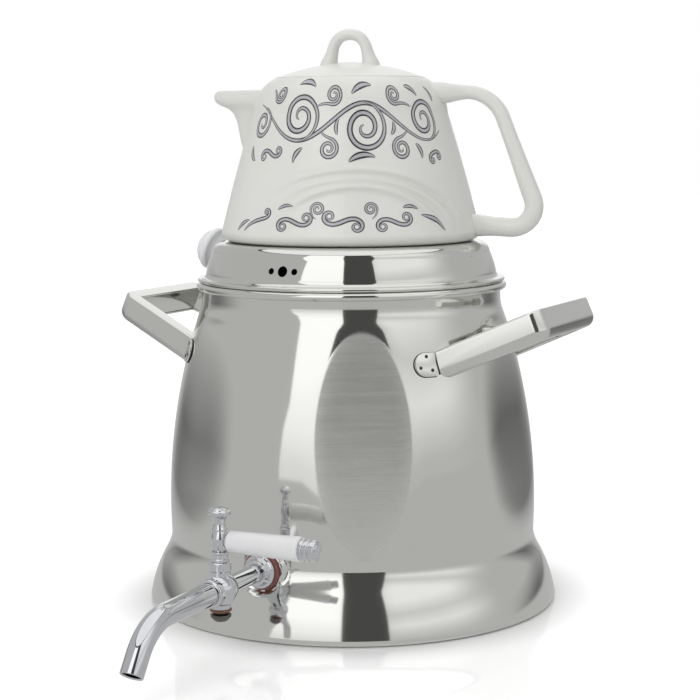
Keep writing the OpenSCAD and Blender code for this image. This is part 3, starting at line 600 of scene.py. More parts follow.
def swept(name, path, section, material, caps=True, place=(0, 0, 0), turn=(0, 0, 0), cutter=None, sharp=32):
    """One section swept along one path of (x, y, z, girth) points in millimetres."""
    line = [(x * MM, y * MM, z * MM, girth) for x, y, z, girth in path]
    outline = section_curve(name + "_section", section)
    made = grown(name, drawn(name + "_path", [line]), SWEPT, {
        "Section": outline, "Caps": caps, "Place": tuple(v * MM for v in place), "Turn": tuple(turn),
        "Cut": cutter is not None, "Cutter": cutter, "Material": material}, sharp)
    bpy.data.objects.remove(outline)
    return made


# Kettle body


def bow_circle(p, q, bow):
    """Centre and radius of the circle through p and q that bows out by bow."""
    p, q = np.array(p), np.array(q)
    chord = q - p
    length = np.hypot(*chord)
    radius = (length * length / 4 + bow * bow) / (2 * bow)
    out = np.array((chord[1], -chord[0])) / length
    return (*((p + q) / 2 - out * (radius - bow)), radius)


BARREL = bow_circle((WAIST_R, WAIST_Z), (SHOULDER_R, SHOULDER_Z), BARREL_BOW)


def on_circle(circle, z):
    """Radius from the axis of a bowed side at height z."""
    x, middle, radius = circle
    return x + np.sqrt(radius * radius - (z - middle) ** 2)


FACE = bow_circle((on_circle(BARREL, PANEL_LOW), PANEL_LOW), (on_circle(BARREL, PANEL_HIGH), PANEL_HIGH),
                  BARREL_BOW - PANEL_DEPTH)
FOOT_LINE = (arc((FOOT_R, FOOT_ROUND), (FLARE_R, FLARE_Z), FLARE_BOW, 24)
             + arc((FLARE_R, FLARE_Z), (WAIST_R - FOOT_LAP, WAIST_Z + 0.5), -WAIST_BOW, 24)[1:])


def side_radius(z):
    """Radius of the kettle's outside at height z, before its panels are pressed."""
    heights = np.array([p[1] for p in FOOT_LINE] + [WAIST_Z + 6, RIM_Z])
    radii = np.array([p[0] for p in FOOT_LINE] + [WAIST_R - 2, NECK_R - 8])
    foot = np.interp(z, heights, radii)
    return soft_max(soft_max(foot, on_circle(BARREL, z), CREASE_SOFT), NECK_R, NECK_SOFT)


def pressed_radius(radius, z, theta):
    """Radius with the panels pressed in, and how deep each point of a brushed panel is pressed.
    Every second panel is brushed, with a narrower rim. The panels between are polished and softer."""
    step = 2 * math.pi / PANELS
    count = np.round(theta / step)
    off = theta - count * step
    brushed = count % 2 == 1
    face = on_circle(FACE, z) / np.cos(off)
    pressed = np.where(brushed, soft_min(radius, face, PANEL_SOFT), soft_min(radius, face, PLAIN_SOFT))
    low = np.where(brushed, PANEL_LOW, PANEL_LOW + PLAIN_LIFT)
    share = smooth_step(PANEL_LOW - PANEL_FADE, low, z)
    share = share * (1 - smooth_step(PANEL_HIGH, PANEL_HIGH + PANEL_FADE, z))
    return radius + (pressed - radius) * share, np.where(brushed & (share > 0), radius - face, -1.0)


def kettle_body():
    """The pressed shell: foot, waist, six panels, neck and rolled bead, inside and out."""
    fine = np.concatenate((np.arange(-30, -25), np.linspace(-25, 25, 80, endpoint=False), np.arange(25, 30)))
    plain = np.arange(-30, 30)
    theta = np.radians(np.concatenate([60 * k + (fine if k % 2 else plain) for k in range(PANELS)]))
    columns = len(theta)
    outer_z = np.concatenate((
        np.linspace(FOOT_ROUND, 37, 24), np.linspace(37.3, 45, 26), np.linspace(46, 164, 76),
        np.linspace(165, RIM_Z - 2.05, 13)))
    inner_z = np.concatenate((np.linspace(RIM_Z - 4, 44, 26), np.linspace(40, FOOT_ROUND + 0.2, 6)))
    bead_mid = NECK_R + BEAD_R - WALL
    hem_r = FOOT_R - FOOT_ROUND - HEM_IN
    edge = arc((FOOT_R - FOOT_ROUND, 0), (FOOT_R, FOOT_ROUND), FOOT_ROUND * 0.29, 5)[:-1]
    bead = [(bead_mid + BEAD_R * math.cos(t), RIM_Z + BEAD_R * math.sin(t))
            for t in np.linspace(math.radians(-117), math.pi, 26)]
    rows = [(r, z, 0) for r, z in [(hem_r, 0)] + edge]
    rows += [(side_radius(z), z, 1) for z in outer_z]
    rows += [(r, z, 0) for r, z in bead]
    rows += [(side_radius(z) - WALL, z, -1) for z in inner_z]
    rows += [(hem_r, FOOT_ROUND, 0)]
    places, depths = [], []
    for radius, z, kind in rows:
        depth = np.full(columns, -1.0)
        around = np.full(columns, float(radius))
        if kind:
            around, depth = pressed_radius(radius + (WALL if kind < 0 else 0), z, theta)
            around = around - (WALL if kind < 0 else 0)
        x, y = around * np.cos(theta), around * np.sin(theta)
        if kind:
            near = 1 - smooth_step(SEAT_R, SEAT_FADE, np.hypot(x, z - TAP_Z))
            seat = -TAP_SEAT + (WALL if kind < 0 else 0)
            y = np.where(y < 0, y + (seat - y) * near, y)
        places.append(np.stack((x, y, np.full(columns, z)), 1))
        depths.append(np.clip(depth, -1, 1) if kind > 0 else np.full(columns, -1.0))
    count = len(rows)
    i, j = np.meshgrid(np.arange(count), np.arange(columns), indexing="ij")
    up, on = (i + 1) % count, (j + 1) % columns
    faces = np.stack((i * columns + j, i * columns + on, up * columns + on, up * columns + j), -1)
    mesh = bpy.data.meshes.new("kettle_body")
    mesh.from_pydata((np.concatenate(places) * MM).tolist(), [], faces.reshape(-1, 4).tolist())
    panel = mesh.attributes.new("panel_depth", "FLOAT", "POINT")
    panel.data.foreach_set("value", np.concatenate(depths).astype(np.float32))
    made = placed("kettle_body", mesh, KETTLE_STEEL, 40)
    show(made, "kettle", "polished_steel", "kettle_shell")


# Kettle lid


def lid_cover():
    """The lid: skirt, rolled flange, leaning wall, brow and steam opening, with three vents."""
    def side(inset):
        brow = arc((LID_BROW_R - inset, LID_BROW_Z), (LID_FLAT_R, LID_TOP - inset), 1.7, 14)
        return arc((LID_WALL_R - inset, LID_WALL_Z), (LID_BROW_R - inset, LID_BROW_Z), 0.3, 12) + brow[1:]
    rim = LID_RIM_H / 2
    line = [(LID_SKIRT_R, LID_Z - LID_SKIRT_H), (LID_SKIRT_R, LID_Z)]
    line += arc((LID_RIM_R - rim, LID_Z), (LID_RIM_R - rim, LID_Z + LID_RIM_H), rim, 12)
    line += arc((LID_WALL_R + 2.4, LID_Z + LID_RIM_H), (LID_WALL_R, LID_WALL_Z), -0.7, 8)[:-1]
    line += side(0)
    line += filleted([(STEAM_R + 6, LID_TOP, 0), (STEAM_R, LID_TOP, 1.6), (STEAM_R, LID_TOP - LIP_H, 0)],
                     closed=False)
    line += filleted([(STEAM_R + LID_T, LID_TOP - LIP_H, 0), (STEAM_R + LID_T, LID_TOP - LID_T, 0.6),
                      (STEAM_R + 6, LID_TOP - LID_T, 0)], closed=False)
    line += side(LID_T)[::-1]
    line += [(LID_SKIRT_R - LID_T, LID_Z + LID_RIM_H), (LID_SKIRT_R - LID_T, LID_Z - LID_SKIRT_H)]
    cover = spun("lid_blank", line, LID_STEEL, steps=288, closed=True)
    made = grown("lid_cover", cover, PIERCED, {
        "Pitch": VENT_PITCH * MM, "Middle Radius": VENT_R * MM, "Side Radius": SIDE_VENT_R * MM,
        "Place": (0.0, -(LID_WALL_R - 3) * MM, VENT_Z * MM), "Depth": 14 * MM, "Material": LID_STEEL})
    show(made, "kettle_lid", "polished_steel", "kettle_lid")


def knob_frame():
    """The knob's frame: Z leaves the lid wall square to it, towards -X."""
    slope = math.atan2(LID_WALL_R - LID_BROW_R, LID_BROW_Z - LID_WALL_Z)
    seat = LID_WALL_R - (KNOB_Z - LID_WALL_Z) * math.tan(slope)
    return Matrix.Translation((-seat, 0, KNOB_Z)) @ Matrix.Rotation(slope - math.pi / 2, 4, "Y")


def lid_knob():
    """The white knob on its washer."""
    crown = (KNOB_R - 1.65, KNOB_BASE + 11.8)
    rim = (KNOB_R - 1.1, KNOB_BASE + 7.5)
    line = [(2.1, KNOB_BASE + 10.0), (2.1, KNOB_BASE)]
    line += filleted([(2.1, KNOB_BASE, 0), (KNOB_NECK_R, KNOB_BASE, 0.5),
                      (KNOB_NECK_R + 0.6, KNOB_BASE + 2.4, 0)], closed=False)[1:-1]
    line += arc((KNOB_NECK_R + 0.1, KNOB_BASE + 0.8), rim, -2, 12) + arc(rim, crown, 1.1, 10)[1:]
    line += arc(crown, (0, KNOB_LEN), 2, 16)[1:]
    line = [(0, KNOB_BASE + 10.0)] + line
    knob = spun("knob", line, KNOB_WHITE, knob_frame(), 96)
    show(knob, "kettle_lid", "white_knob", "lid_knob")
    washer = spun("knob_seat_ring", filleted([(2.1, 0.4, 0), (6, 0.4, 0.5), (6, 2.0, 0.5), (2.1, 2.0, 0)]),
                  CHROME, knob_frame(), 64, closed=True)
    show(washer, "kettle_lid", "chrome_tap", "knob_washer")


# Side handles


def barrel_cutter():
    """A plain form of the barrel, a hair inside its surface, that the handle ends are cut off by."""
    heights = np.linspace(60, SHOULDER_Z + 4, 40)
    line = [(0, 60)] + [(float(side_radius(z)) - 0.25, float(z)) for z in heights] + [(0, SHOULDER_Z + 4)]
    return spun("barrel_cutter", line, None, steps=180)


def handle_path(side):
    """The outer face of a handle loop in its own sloping plane, with the finger gap on its left."""
    reach = (GRIP_X - ROOT_X) / math.cos(RISE)
    slope = (ROOT_HALF - GRIP_HALF) / reach
    root = ROOT_HALF - slope * ROOT_IN
    loop = filleted([(ROOT_IN, -root, 0), (reach, -GRIP_HALF, CORNER_R), (reach, GRIP_HALF, CORNER_R),
                     (ROOT_IN, root, 0)], 10, closed=False)
    return loop if side > 0 else [(-x, y) for x, y in reversed(loop)]


def side_handle(side, word, cutter):
    """One handle: a rolled strap with a lining plate closing its inner side."""
    path = [(x, y, 0.0, 1.0) for x, y in handle_path(side)]
    lay = {"place": (side * ROOT_X, 0, ROOT_Z), "turn": (0, -side * RISE, 0), "cutter": cutter}
    half, thick = BAND_H / 2, STRAP_T
    strap = filleted([
        (-BAND_T, -half, 0.3), (0, -half, 5.6), (0, half, 1.4), (-BAND_T, half, 0.3),
        (-BAND_T, half - thick, 0.3), (-thick, half - thick, 0.4), (-thick, -half + thick, 4.5),
        (-BAND_T, -half + thick, 0.3)], 6)
    made = swept(word + "_strap", path, strap, HANDLE_STEEL, sharp=40, **lay)
    show(made, "kettle", "handle_steel", word + "_handle_strap")
    back, edge = -BAND_T + 0.5, half - thick - 0.1
    lining = filleted([(back, -edge, 0.25), (back + LINING_T, -edge, 0.25), (back + LINING_T, edge, 0.25),
                       (back, edge, 0.25)], 3)
    made = swept(word + "_lining", path, lining, HANDLE_STEEL, sharp=40, **lay)
    show(made, "kettle", "handle_steel", word + "_handle_lining")


def strap_end(side, arm):
    """The line on which an arm's outer face meets the barrel, from its lower to its upper edge."""
    loop = handle_path(1)
    (x, y), (far_x, far_y) = loop[0], loop[1]
    line = []
    for up in np.linspace(-BAND_H / 2 + 3.2, BAND_H / 2 - 0.4, 12):
        near, far = 0.0, 1.0
        for _ in range(40):
            share = (near + far) / 2
            spot = Vector((x + (far_x - x) * share, (y + (far_y - y) * share) * -arm, up))
            spot = Matrix.Rotation(-RISE, 3, "Y") @ spot + Vector((ROOT_X, 0, ROOT_Z))
            near, far = (near, share) if spot.xy.length > float(side_radius(spot.z)) else (share, far)
        line.append((side * spot.x, spot.y, spot.z, 1.5))
    return line


def lug_frame(side, arm):
    """A lug's place: X towards the arm, Y up the barrel, Z square to the sheet."""
    seat = float(on_circle(BARREL, LUG_Z))
    lean = math.asin((LUG_Z - BARREL[1]) / BARREL[2])
    angle = math.atan2(ROOT_HALF, ROOT_X - BAND_H / 2 * math.sin(RISE))
    angle = angle + LUG_GAP + (LUG_LEN - LUG_W / 2) / seat
    out = Vector((side * math.cos(angle), arm * math.sin(angle), 0))
    along = Vector((side * math.sin(angle), -arm * math.cos(angle), 0))
    up = Vector((0, 0, math.cos(lean))) - out * math.sin(lean)
    square = out * math.cos(lean) + Vector((0, 0, math.sin(lean)))
    place = Matrix((along, up, square)).transposed().to_4x4()
    place.translation = out * (seat + 0.1) + Vector((0, 0, LUG_Z))
    return place


# Section of the thin dark lines of painted shade round the lugs and at the strap ends
SHADE_LINE = [(0.32 * math.cos(t), 0.32 * math.sin(t)) for t in np.arange(8) * math.pi / 4]


def handle_lugs(side, word):
    """Two round-ended lugs with eased edges, each spot welded in three places, with thin dark lines of
    painted shade round each lug and at each strap end.
    """
    half, long, ease = LUG_W / 2, LUG_LEN - LUG_W / 2, 0.4
    work = bmesh.new()
    spots = []
    for arm in (-1, 1):
        place = lug_frame(side, arm)
        turns = np.linspace(math.pi / 2, 3 * math.pi / 2, 25)
        layers = []
        for inset, height in ((0.1, 0.0), (0.0, ease), (0.0, LUG_T - ease), (ease * 0.3, LUG_T - ease * 0.3),
                              (ease, LUG_T)):
            r = half - inset
            ring = [(r * math.cos(t), r * math.sin(t)) for t in turns]
            ring += [(long - inset, -r), (long - inset, r)]
            layers.append([work.verts.new(place @ Vector((x, y, height)) * MM) for x, y in ring])
        for low, high in zip(layers, layers[1:]):
            for i in range(len(low)):
                j = (i + 1) % len(low)
                work.faces.new((low[i], low[j], high[j], high[i]))
        work.faces.new(layers[0][::-1])
        work.faces.new(layers[-1])
        ring = [(long, half)] + [(half * math.cos(t), half * math.sin(t)) for t in turns] + [(long, -half)]
        line = [(*(place @ Vector((x, y, 0.1))), 1.0) for x, y in ring]
        end = "front" if arm < 0 else "back"
        # Painted shade: thin dark lines round the lug's edge and where the strap's end meets the barrel,
        # standing in for the shadow in those gaps
        show(swept(f"{word}_lug_seam_{end}", line, SHADE_LINE, WELD_AND_SHADE_MARK), "kettle", "weld_marks")
        show(swept(f"{word}_strap_seam_{end}", strap_end(side, arm), SHADE_LINE, WELD_AND_SHADE_MARK), "kettle", "weld_marks")
        facing = (place.to_3x3() @ Vector((0, 0, 1))).normalized()
        spots += [(place @ Vector((x, y, LUG_T)), facing) for x, y in WELD_SPOTS]
    show(from_bmesh(word + "_lugs", work, HANDLE_STEEL), "kettle", "handle_steel", word + "_handle_lugs")
    dimple = spun("weld_dimple", [(0, -0.1), (WELD_R, -0.1), (WELD_R, 0.05), (WELD_R * 0.8, WELD_H * 0.45),
                                  (WELD_R * 0.55, WELD_H * 0.35), (0, WELD_H * 0.2)], WELD_AND_SHADE_MARK, steps=20)
    welds = grown(word + "_welds", points_object("weld_points", spots), SET_OUT, {
        "Piece": dimple, "Material": WELD_AND_SHADE_MARK})
    bpy.data.objects.remove(dimple)
    show(welds, "kettle", "weld_marks", word + "_lug_welds")


# Tap

TAP = Matrix.Translation((0, -TAP_SEAT, TAP_Z)) @ Matrix.Rotation(math.pi / 2, 4, "X")
PLUG = Matrix.Translation((0, PLUG_Y, TAP_Z))
LEVER = Matrix.Translation((0, PLUG_Y, TAP_Z + LEVER_Z)) @ Matrix.Rotation(math.pi / 2, 4, "Y")


def tap_seat():
    """Washer, flange and shank between the kettle and the tap's ball."""
    bore = SHANK_R + 0.1
    ring = filleted([(bore, 0, 0), (WASHER_R, 0, 1.0), (WASHER_R, WASHER_T, 1.0), (bore, WASHER_T, 0)], 6)
    show(spun("seat_washer", ring, SILICONE, TAP, 72, True), "kettle", "silicone_washer", "outer_washer")
    top = WASHER_T + FLANGE_H
    line = filleted([
        (bore, WASHER_T, 0), (9.1, WASHER_T, 0.4), (9.1, WASHER_T + 2.0, 0.7), (7.6, WASHER_T + 2.6, 0.5),
        (6.9, WASHER_T + 4.6, 0.8), (6.6, top, 0.5), (bore, top, 0)])
    show(spun("seat_flange", line, CHROME, TAP, 96, True), "kettle", "chrome_tap", "tap_flange")
    reach = -PLUG_Y - TAP_SEAT - BALL_R + 3.3
    tube = [(WAY_R, -11, 0), (SHANK_R, -11, 0.4), (SHANK_R, reach, 0.2), (WAY_R, reach, 0)]
    show(spun("shank", filleted(tube), CHROME, TAP, 72, True), "kettle", "chrome_tap", "tap_shank")


def tap_ball():
    """The ball that the plug turns in, with its bosses and the collar round the spout."""
    rise = math.sqrt(BALL_R ** 2 - BOSS_R ** 2)
    start = math.asin(rise / BALL_R)
    sphere = [(BALL_R * math.cos(t), BALL_R * math.sin(t)) for t in np.linspace(-start, start, 40)]
    line = filleted([(PLUG_R, -BOSS_TOP, 0), (BOSS_R, -BOSS_TOP, 0.25), (BOSS_R, -rise - 0.1, 0)],
                    closed=False)
    line += sphere
    line += filleted([(BOSS_R, rise + 0.1, 0), (BOSS_R, BOSS_TOP, 0.25), (PLUG_R, BOSS_TOP, 0)], closed=False)
    show(spun("ball", line, CHROME, PLUG, 96, True, 40), "kettle", "chrome_tap", "tap_body")
    from_z = -PLUG_Y - TAP_SEAT + COLLAR_FROM
    ring = filleted([(SPOUT_R + 0.1, from_z, 0), (COLLAR_R, from_z, 0.3), (COLLAR_R, from_z + COLLAR_H, 1.1),
                     (SPOUT_R + 0.1, from_z + COLLAR_H, 0.0)], 6)
    show(spun("spout_ring", ring, CHROME, TAP, 72, True), "kettle", "chrome_tap", "spout_collar")


def tap_spout():
    """The spout tube: a straight run, a bend downwards and a short tail, with an eased open end."""
    start = PLUG_Y - COLLAR_FROM
    level = [(0, start, TAP_Z, 1), (0, start - SPOUT_RUN, TAP_Z, 1)]
    middle = (start - SPOUT_RUN, TAP_Z - BEND_R)
    bend = [(0, middle[0] - BEND_R * math.sin(t), middle[1] + BEND_R * math.cos(t), 1)
            for t in np.linspace(0, BEND, 28)[1:]]
    tail = [(0, bend[-1][1] - run * math.cos(BEND), bend[-1][2] - run * math.sin(BEND), girth)
            for run, girth in ((SPOUT_TAIL - 0.5, 1.0), (SPOUT_TAIL - 0.15, 0.985), (SPOUT_TAIL, 0.955))]
    circle = [(SPOUT_R * math.cos(t), SPOUT_R * math.sin(t)) for t in np.arange(48) * 2 * math.pi / 48]
    made = swept("spout", level + bend + tail, circle, CHROME, caps=False)
    applied(made, "SOLIDIFY", thickness=SPOUT_WALL * MM, offset=-1.0)
    made.data.shade_smooth()
    made.data.set_sharp_from_angle(angle=math.radians(40))
    show(made, "kettle", "chrome_tap", "tap_spout")


def tap_stack():
    """What stands on the ball: bonnet, stem collar, lever hub and finial."""
    stem = 3.65
    top = BOSS_TOP + 5
    bonnet = filleted([(stem, BOSS_TOP, 0), (5.2, BOSS_TOP, 0.2), (5.7, BOSS_TOP + 0.6, 0.3),
                       (5.7, top - 0.7, 0.5), (5.0, top, 0.4), (stem, top, 0)])
    show(spun("bonnet", bonnet, CHROME, PLUG, 72, True), "kettle", "chrome_tap", "bonnet_nut")
    low, high = STEM_COLLAR_Z - 0.25, STEM_COLLAR_Z + 5
    collar = filleted([(3.7, low, 0), (4.7, low, 0.3), (4.7, low + 1.2, 0.3), (4.25, low + 1.7, 0.3),
                       (4.25, high - 1.4, 0.3), (4.7, high - 1.0, 0.2), (4.7, high, 0.3), (3.7, high, 0)])
    show(spun("stem_ring", collar, CHROME, PLUG, 72, True), "tap_key", "chrome_tap", "stem_collar")
    bulge = arc((3.4, HUB_Z + 0.5), (3.4, HUB_Z + HUB_H - 0.7), 1.0, 16)
    hub = [(2.1, HUB_Z - 0.25), (3.4, HUB_Z - 0.25)] + bulge + [(3.1, HUB_Z + HUB_H), (2.1, HUB_Z + HUB_H)]
    show(spun("hub", hub, CHROME, PLUG, 72, True), "tap_key", "chrome_tap", "lever_hub")
    base, tip = FINIAL_Z, FINIAL_Z + FINIAL_H
    line = [(0, base), (3.8, base), (3.8, base + 0.6)] + arc((3.7, base + 0.9), (2.9, base + 4), -0.25, 6)
    line += arc((2.9, base + 4), (5.0, base + 7.6), -0.5, 8)[1:]
    line += filleted([(5.0, base + 7.6, 0), (5.8, base + 8.0, 0.3), (5.8, base + 9.8, 0.5),
                      (4.9, base + 10.4, 0.3), (4.7, base + 10.9, 0)], closed=False)[1:]
    line += arc((4.7, base + 10.9), (0, tip), 0.35, 8)[1:]
    show(spun("finial", line, CHROME, PLUG, 72), "tap_key", "chrome_tap", "plug_finial")


def tap_lever():
    """The lever: ferrule, white grip and stepped end cap."""
    bore = 1.6
    ferrule = filleted([(bore, 4.5, 0), (3.9, 4.5, 0.3), (3.9, 5.7, 0.3), (bore, 5.7, 0)])
    show(spun("ferrule", ferrule, CHROME, LEVER, 64, True), "tap_key", "chrome_tap", "lever_ferrule")
    end = GRIP_FROM + GRIP_LEN
    grip = filleted([(bore, GRIP_FROM, 0), (GRIP_R - 0.8, GRIP_FROM, 1.3), (GRIP_R, end, 1.0),
                     (bore, end, 0)], 8)
    show(spun("grip", grip, GRIP_WHITE, LEVER, 80, True), "tap_key", "white_ceramic", "lever_grip")
    low, r = end + 0.1, GRIP_R - 0.9
    cap = [(0, low + 4.5), (bore, low + 4.5)]
    top = low + END_CAP_H
    cap += filleted([
        (bore, low, 0), (r, low, 0.4), (r, low + 1.8, 0.5), (r - 0.8, low + 2.2, 0.2),
        (r - 0.8, low + 2.9, 0.2), (r - 0.1, low + 3.3, 0.3), (r - 0.1, low + 4.6, 0.4),
        (r - 0.9, low + 5.0, 0.2), (r - 0.9, low + 5.6, 0.2), (r - 0.3, low + 6.0, 0.3),
        (r - 0.3, top - 0.4, 0.7), (r - 1.6, top - 0.3, 0.2), (r - 1.9, top - 0.7, 0.2),
        (r - 2.2, top - 0.2, 0.2), (0, top, 0)], closed=False)
    show(spun("end_cap", cap, CHROME, LEVER, 72), "tap_key", "chrome_tap", "lever_end_cap")


def tap_underside():
    """The copper washer and conical nut that hold the plug from below."""
    top = -BOSS_TOP - 0.1
    washer = filleted([(2.1, top - 1.2, 0), (5.7, top - 1.2, 0.35), (5.7, top, 0.35), (2.1, top, 0)])
    show(spun("copper_ring", washer, COPPER, PLUG, 64, True), "tap_key", "copper_washer", "plug_washer")
    low = top - 1.2 - 5.2
    nut = filleted([(2.1, low + 1, 0), (2.1, low, 0.2), (3.4, low, 0.4), (5.4, low + 2.2, 0.4),
                    (5.4, low + 3.4, 0.4), (3.6, low + 4.2, 0.3), (3.6, low + 5.2, 0), (2.1, low + 5.2, 0)])
    show(spun("cone_nut", nut, ZINC, PLUG, 64, True), "tap_key", "zinc_screw", "plug_nut")


# Teapot

POT = Matrix.Translation((0, 0, POT_Z)) @ Matrix.Rotation(POT_TURN, 4, "Z")
RIDGES = ((58.0, 43.0), (50.0, 37.8), (41.0, 33.8))
RIDGE_AZIMUTH, RIDGE_FOOT, RIDGE_H, RIDGE_W = -61.4, -1.2, 2.3, 1.8


def ridge_height(theta, z):
    """Height of the three embossed arches at a world azimuth and a height above the pot's foot."""
    rise = 0.0
    for turn in (0, 180):
        off = (np.degrees(theta) - RIDGE_AZIMUTH - turn + 180) % 360 - 180
        fade = smooth_step(-52, -12, off)
        for wide, tall in RIDGES:
            share = np.hypot(off / wide, (z - RIDGE_FOOT) / tall)
            away = (share - 1) * tall
            ease = smooth_step(6, 16, z)
            rise = rise + RIDGE_H * fade * ease * np.exp(-(away / RIDGE_W) ** 2)
    return rise


def pot_side(count):
    """The outside of the pot from its foot ring to its rim."""
    line = arc((POT_R - POT_FOOT_IN / 2, 0.5), (POT_R, POT_FOOT_ROUND), 1.1, 8)
    line += arc((POT_R, POT_FOOT_ROUND), (POT_TOP_R, POT_CONE_H), 0.4, count)[1:]
    return line + arc((POT_TOP_R, POT_CONE_H), (POT_RIM_R, POT_H), SHOULDER_BOW, 18)[1:]


def pot_body():
    """The pot's wall with its embossed arches, foot ring and the ledge that the lid lies on."""
    foot = POT_R - POT_FOOT_IN
    line = [(0, 2), (foot - 4, 2)] + filleted([(foot - 4, 2, 0), (foot - 3, 0, 0.6), (foot, 0, 0.6),
                                               (POT_R - POT_FOOT_IN / 2, 0.5, 0)], closed=False)[1:-1]
    line += pot_side(72)
    lip = POT_RIM_R - 0.2
    line += [(lip, POT_H - 0.1), (lip, LEDGE_Z), (LEDGE_R, LEDGE_Z), (LEDGE_R, LEDGE_Z - POT_WALL)]
    line += [(POT_TOP_R - POT_WALL, POT_CONE_H), (POT_R - POT_WALL, 9)]
    line += [(POT_R - 2 * POT_WALL, 5), (0, 5)]
    made = spun("pot_body", line, GLAZE, POT, 320, sharp=50)
    spots = np.empty(len(made.data.vertices) * 3, np.float32)
    made.data.vertices.foreach_get("co", spots)
    spots = spots.reshape(-1, 3)
    radius = np.hypot(spots[:, 0], spots[:, 1])
    height = spots[:, 2] / MM - POT_Z
    theta = np.arctan2(spots[:, 1], spots[:, 0])
    side = np.array(pot_side(72))
    outside = radius / MM > np.interp(height, side[:, 1], side[:, 0]) - 1.0
    rise = ridge_height(theta, height) * outside * (height > 6)
    spots[:, :2] *= (1 + rise * MM / np.maximum(radius, MM))[:, None]
    made.data.vertices.foreach_set("co", spots.ravel())
    made.data.update()
    show(made, "teapot", "teapot_glaze", "teapot_body")
    return made


def pot_spout():
    """The short beak: level slices that swell out of the wall into a lip with the mouth in it."""
    slices = (
        (-42.0, 54.0, 7.0), (-36.0, 63.0, 9.0), (-27.0, 65.2, 11.0), (-18.0, 66.8, 13.0), (-13.2, 68.8, 14.4),
        (-10.8, 71.2, 15.3), (-9.3, 74.2, 15.9), (-8.1, 77.2, 16.4), (-6.6, 79.4, 16.8), (-4.8, 80.4, 17.0),
        (-3.0, 80.5, 17.0), (-1.5, 79.9, 16.8), (-0.5, 78.9, 16.4), (0.0, 77.4, 15.8))
    work = bmesh.new()
    steps, back = 40, 42.0
    rings = []
    for drop, reach, half in slices:
        ring = []
        for t in np.linspace(-1, 1, steps + 1):
            shape = 1 - abs(t) ** 1.6
            narrow = half * np.sign(t) * abs(t) ** 0.8
            ring.append((-back - (reach - back) * shape, narrow))
        rings.append([work.verts.new(POT @ Vector((x, y, BEAK_Z + drop)) * MM) for x, y in ring])
    for low, high in zip(rings, rings[1:]):
        for i in range(steps):
            work.faces.new((low[i], low[i + 1], high[i + 1], high[i]))
        work.faces.new((low[-1], low[0], high[0], high[-1]))
    work.faces.new(rings[0])
    mouth = [rings[-1]]
    for drop, middle, long, wide in ((0.0, 71.4, 4.6, 3.6), (0.5, 71.4, 4.0, 3.0), (5.0, 68.6, 3.6, 2.8),
                                     (12.0, 62.0, 3.0, 2.6)):
        turns = np.linspace(0.03, 1.97, steps + 1) * math.pi
        spots = [Vector((-middle + long * math.cos(t), -wide * math.sin(t), BEAK_Z - drop)) for t in turns]
        mouth.append([work.verts.new(POT @ spot * MM) for spot in spots])
    for low, high in zip(mouth, mouth[1:]):
        for i in range(steps + 1):
            j = (i + 1) % (steps + 1)
            work.faces.new((low[i], low[j], high[j], high[i]))
    work.faces.new(mouth[-1])
    made = from_bmesh("pot_spout", work, GLAZE, 60)
    show(made, "teapot", "teapot_glaze", "teapot_spout")


def pot_handle():
    """The tall bent handle, broad where it leaves the pot and slim down its back."""
    corners = [(40.0, 82.6, 0), (82.0, 83.6, 22.0), (111.0, 6.6, 12.0), (62.0, 9.4, 0)]
    line = filleted(corners, 12, closed=False)
    dense = [line[0]]
    for p, q in zip(line, line[1:]):
        pieces = max(1, int(math.dist(p, q) / 3))
        dense += [(p[0] + (q[0] - p[0]) * k / pieces, p[1] + (q[1] - p[1]) * k / pieces)
                  for k in range(1, pieces + 1)]
    girths = []
    for x, z in dense:
        top = 0.55 * float(1 - smooth_step(50, 68, x)) if z > 60 else 0.0
        low = 0.34 * float(1 - smooth_step(0, 66, z))
        root = 0.25 * float(1 - smooth_step(70, 84, x)) if z < 30 else 0.0
        girths.append(0.88 + top + (low + root))
    path = [(x, -z, 0.0, g) for (x, z), g in zip(dense, girths)]
    half_t, half_d = LOOP_T / 2, LOOP_DEPTH / 2
    section = filleted([(-half_t, -half_d, 3.9), (half_t, -half_d, 3.9), (half_t, half_d, 3.9),
                        (-half_t, half_d, 3.9)], 8)
    turn = (POT.to_3x3() @ Matrix.Rotation(-math.pi / 2, 3, "X")).to_euler()
    made = swept("pot_handle", path, section, GLAZE, place=(0, 0, POT_Z), turn=turn, sharp=60)
    show(made, "teapot", "teapot_glaze", "teapot_handle")


def eased(line):
    """A line of points with its corners cut off twice."""
    for _ in range(2):
        cut = [line[0]]
        for p, q in zip(line, line[1:]):
            cut += [tuple(a * (1 - share) + b * share for a, b in zip(p, q)) for share in (0.25, 0.75)]
        line = cut + [line[-1]]
    return line


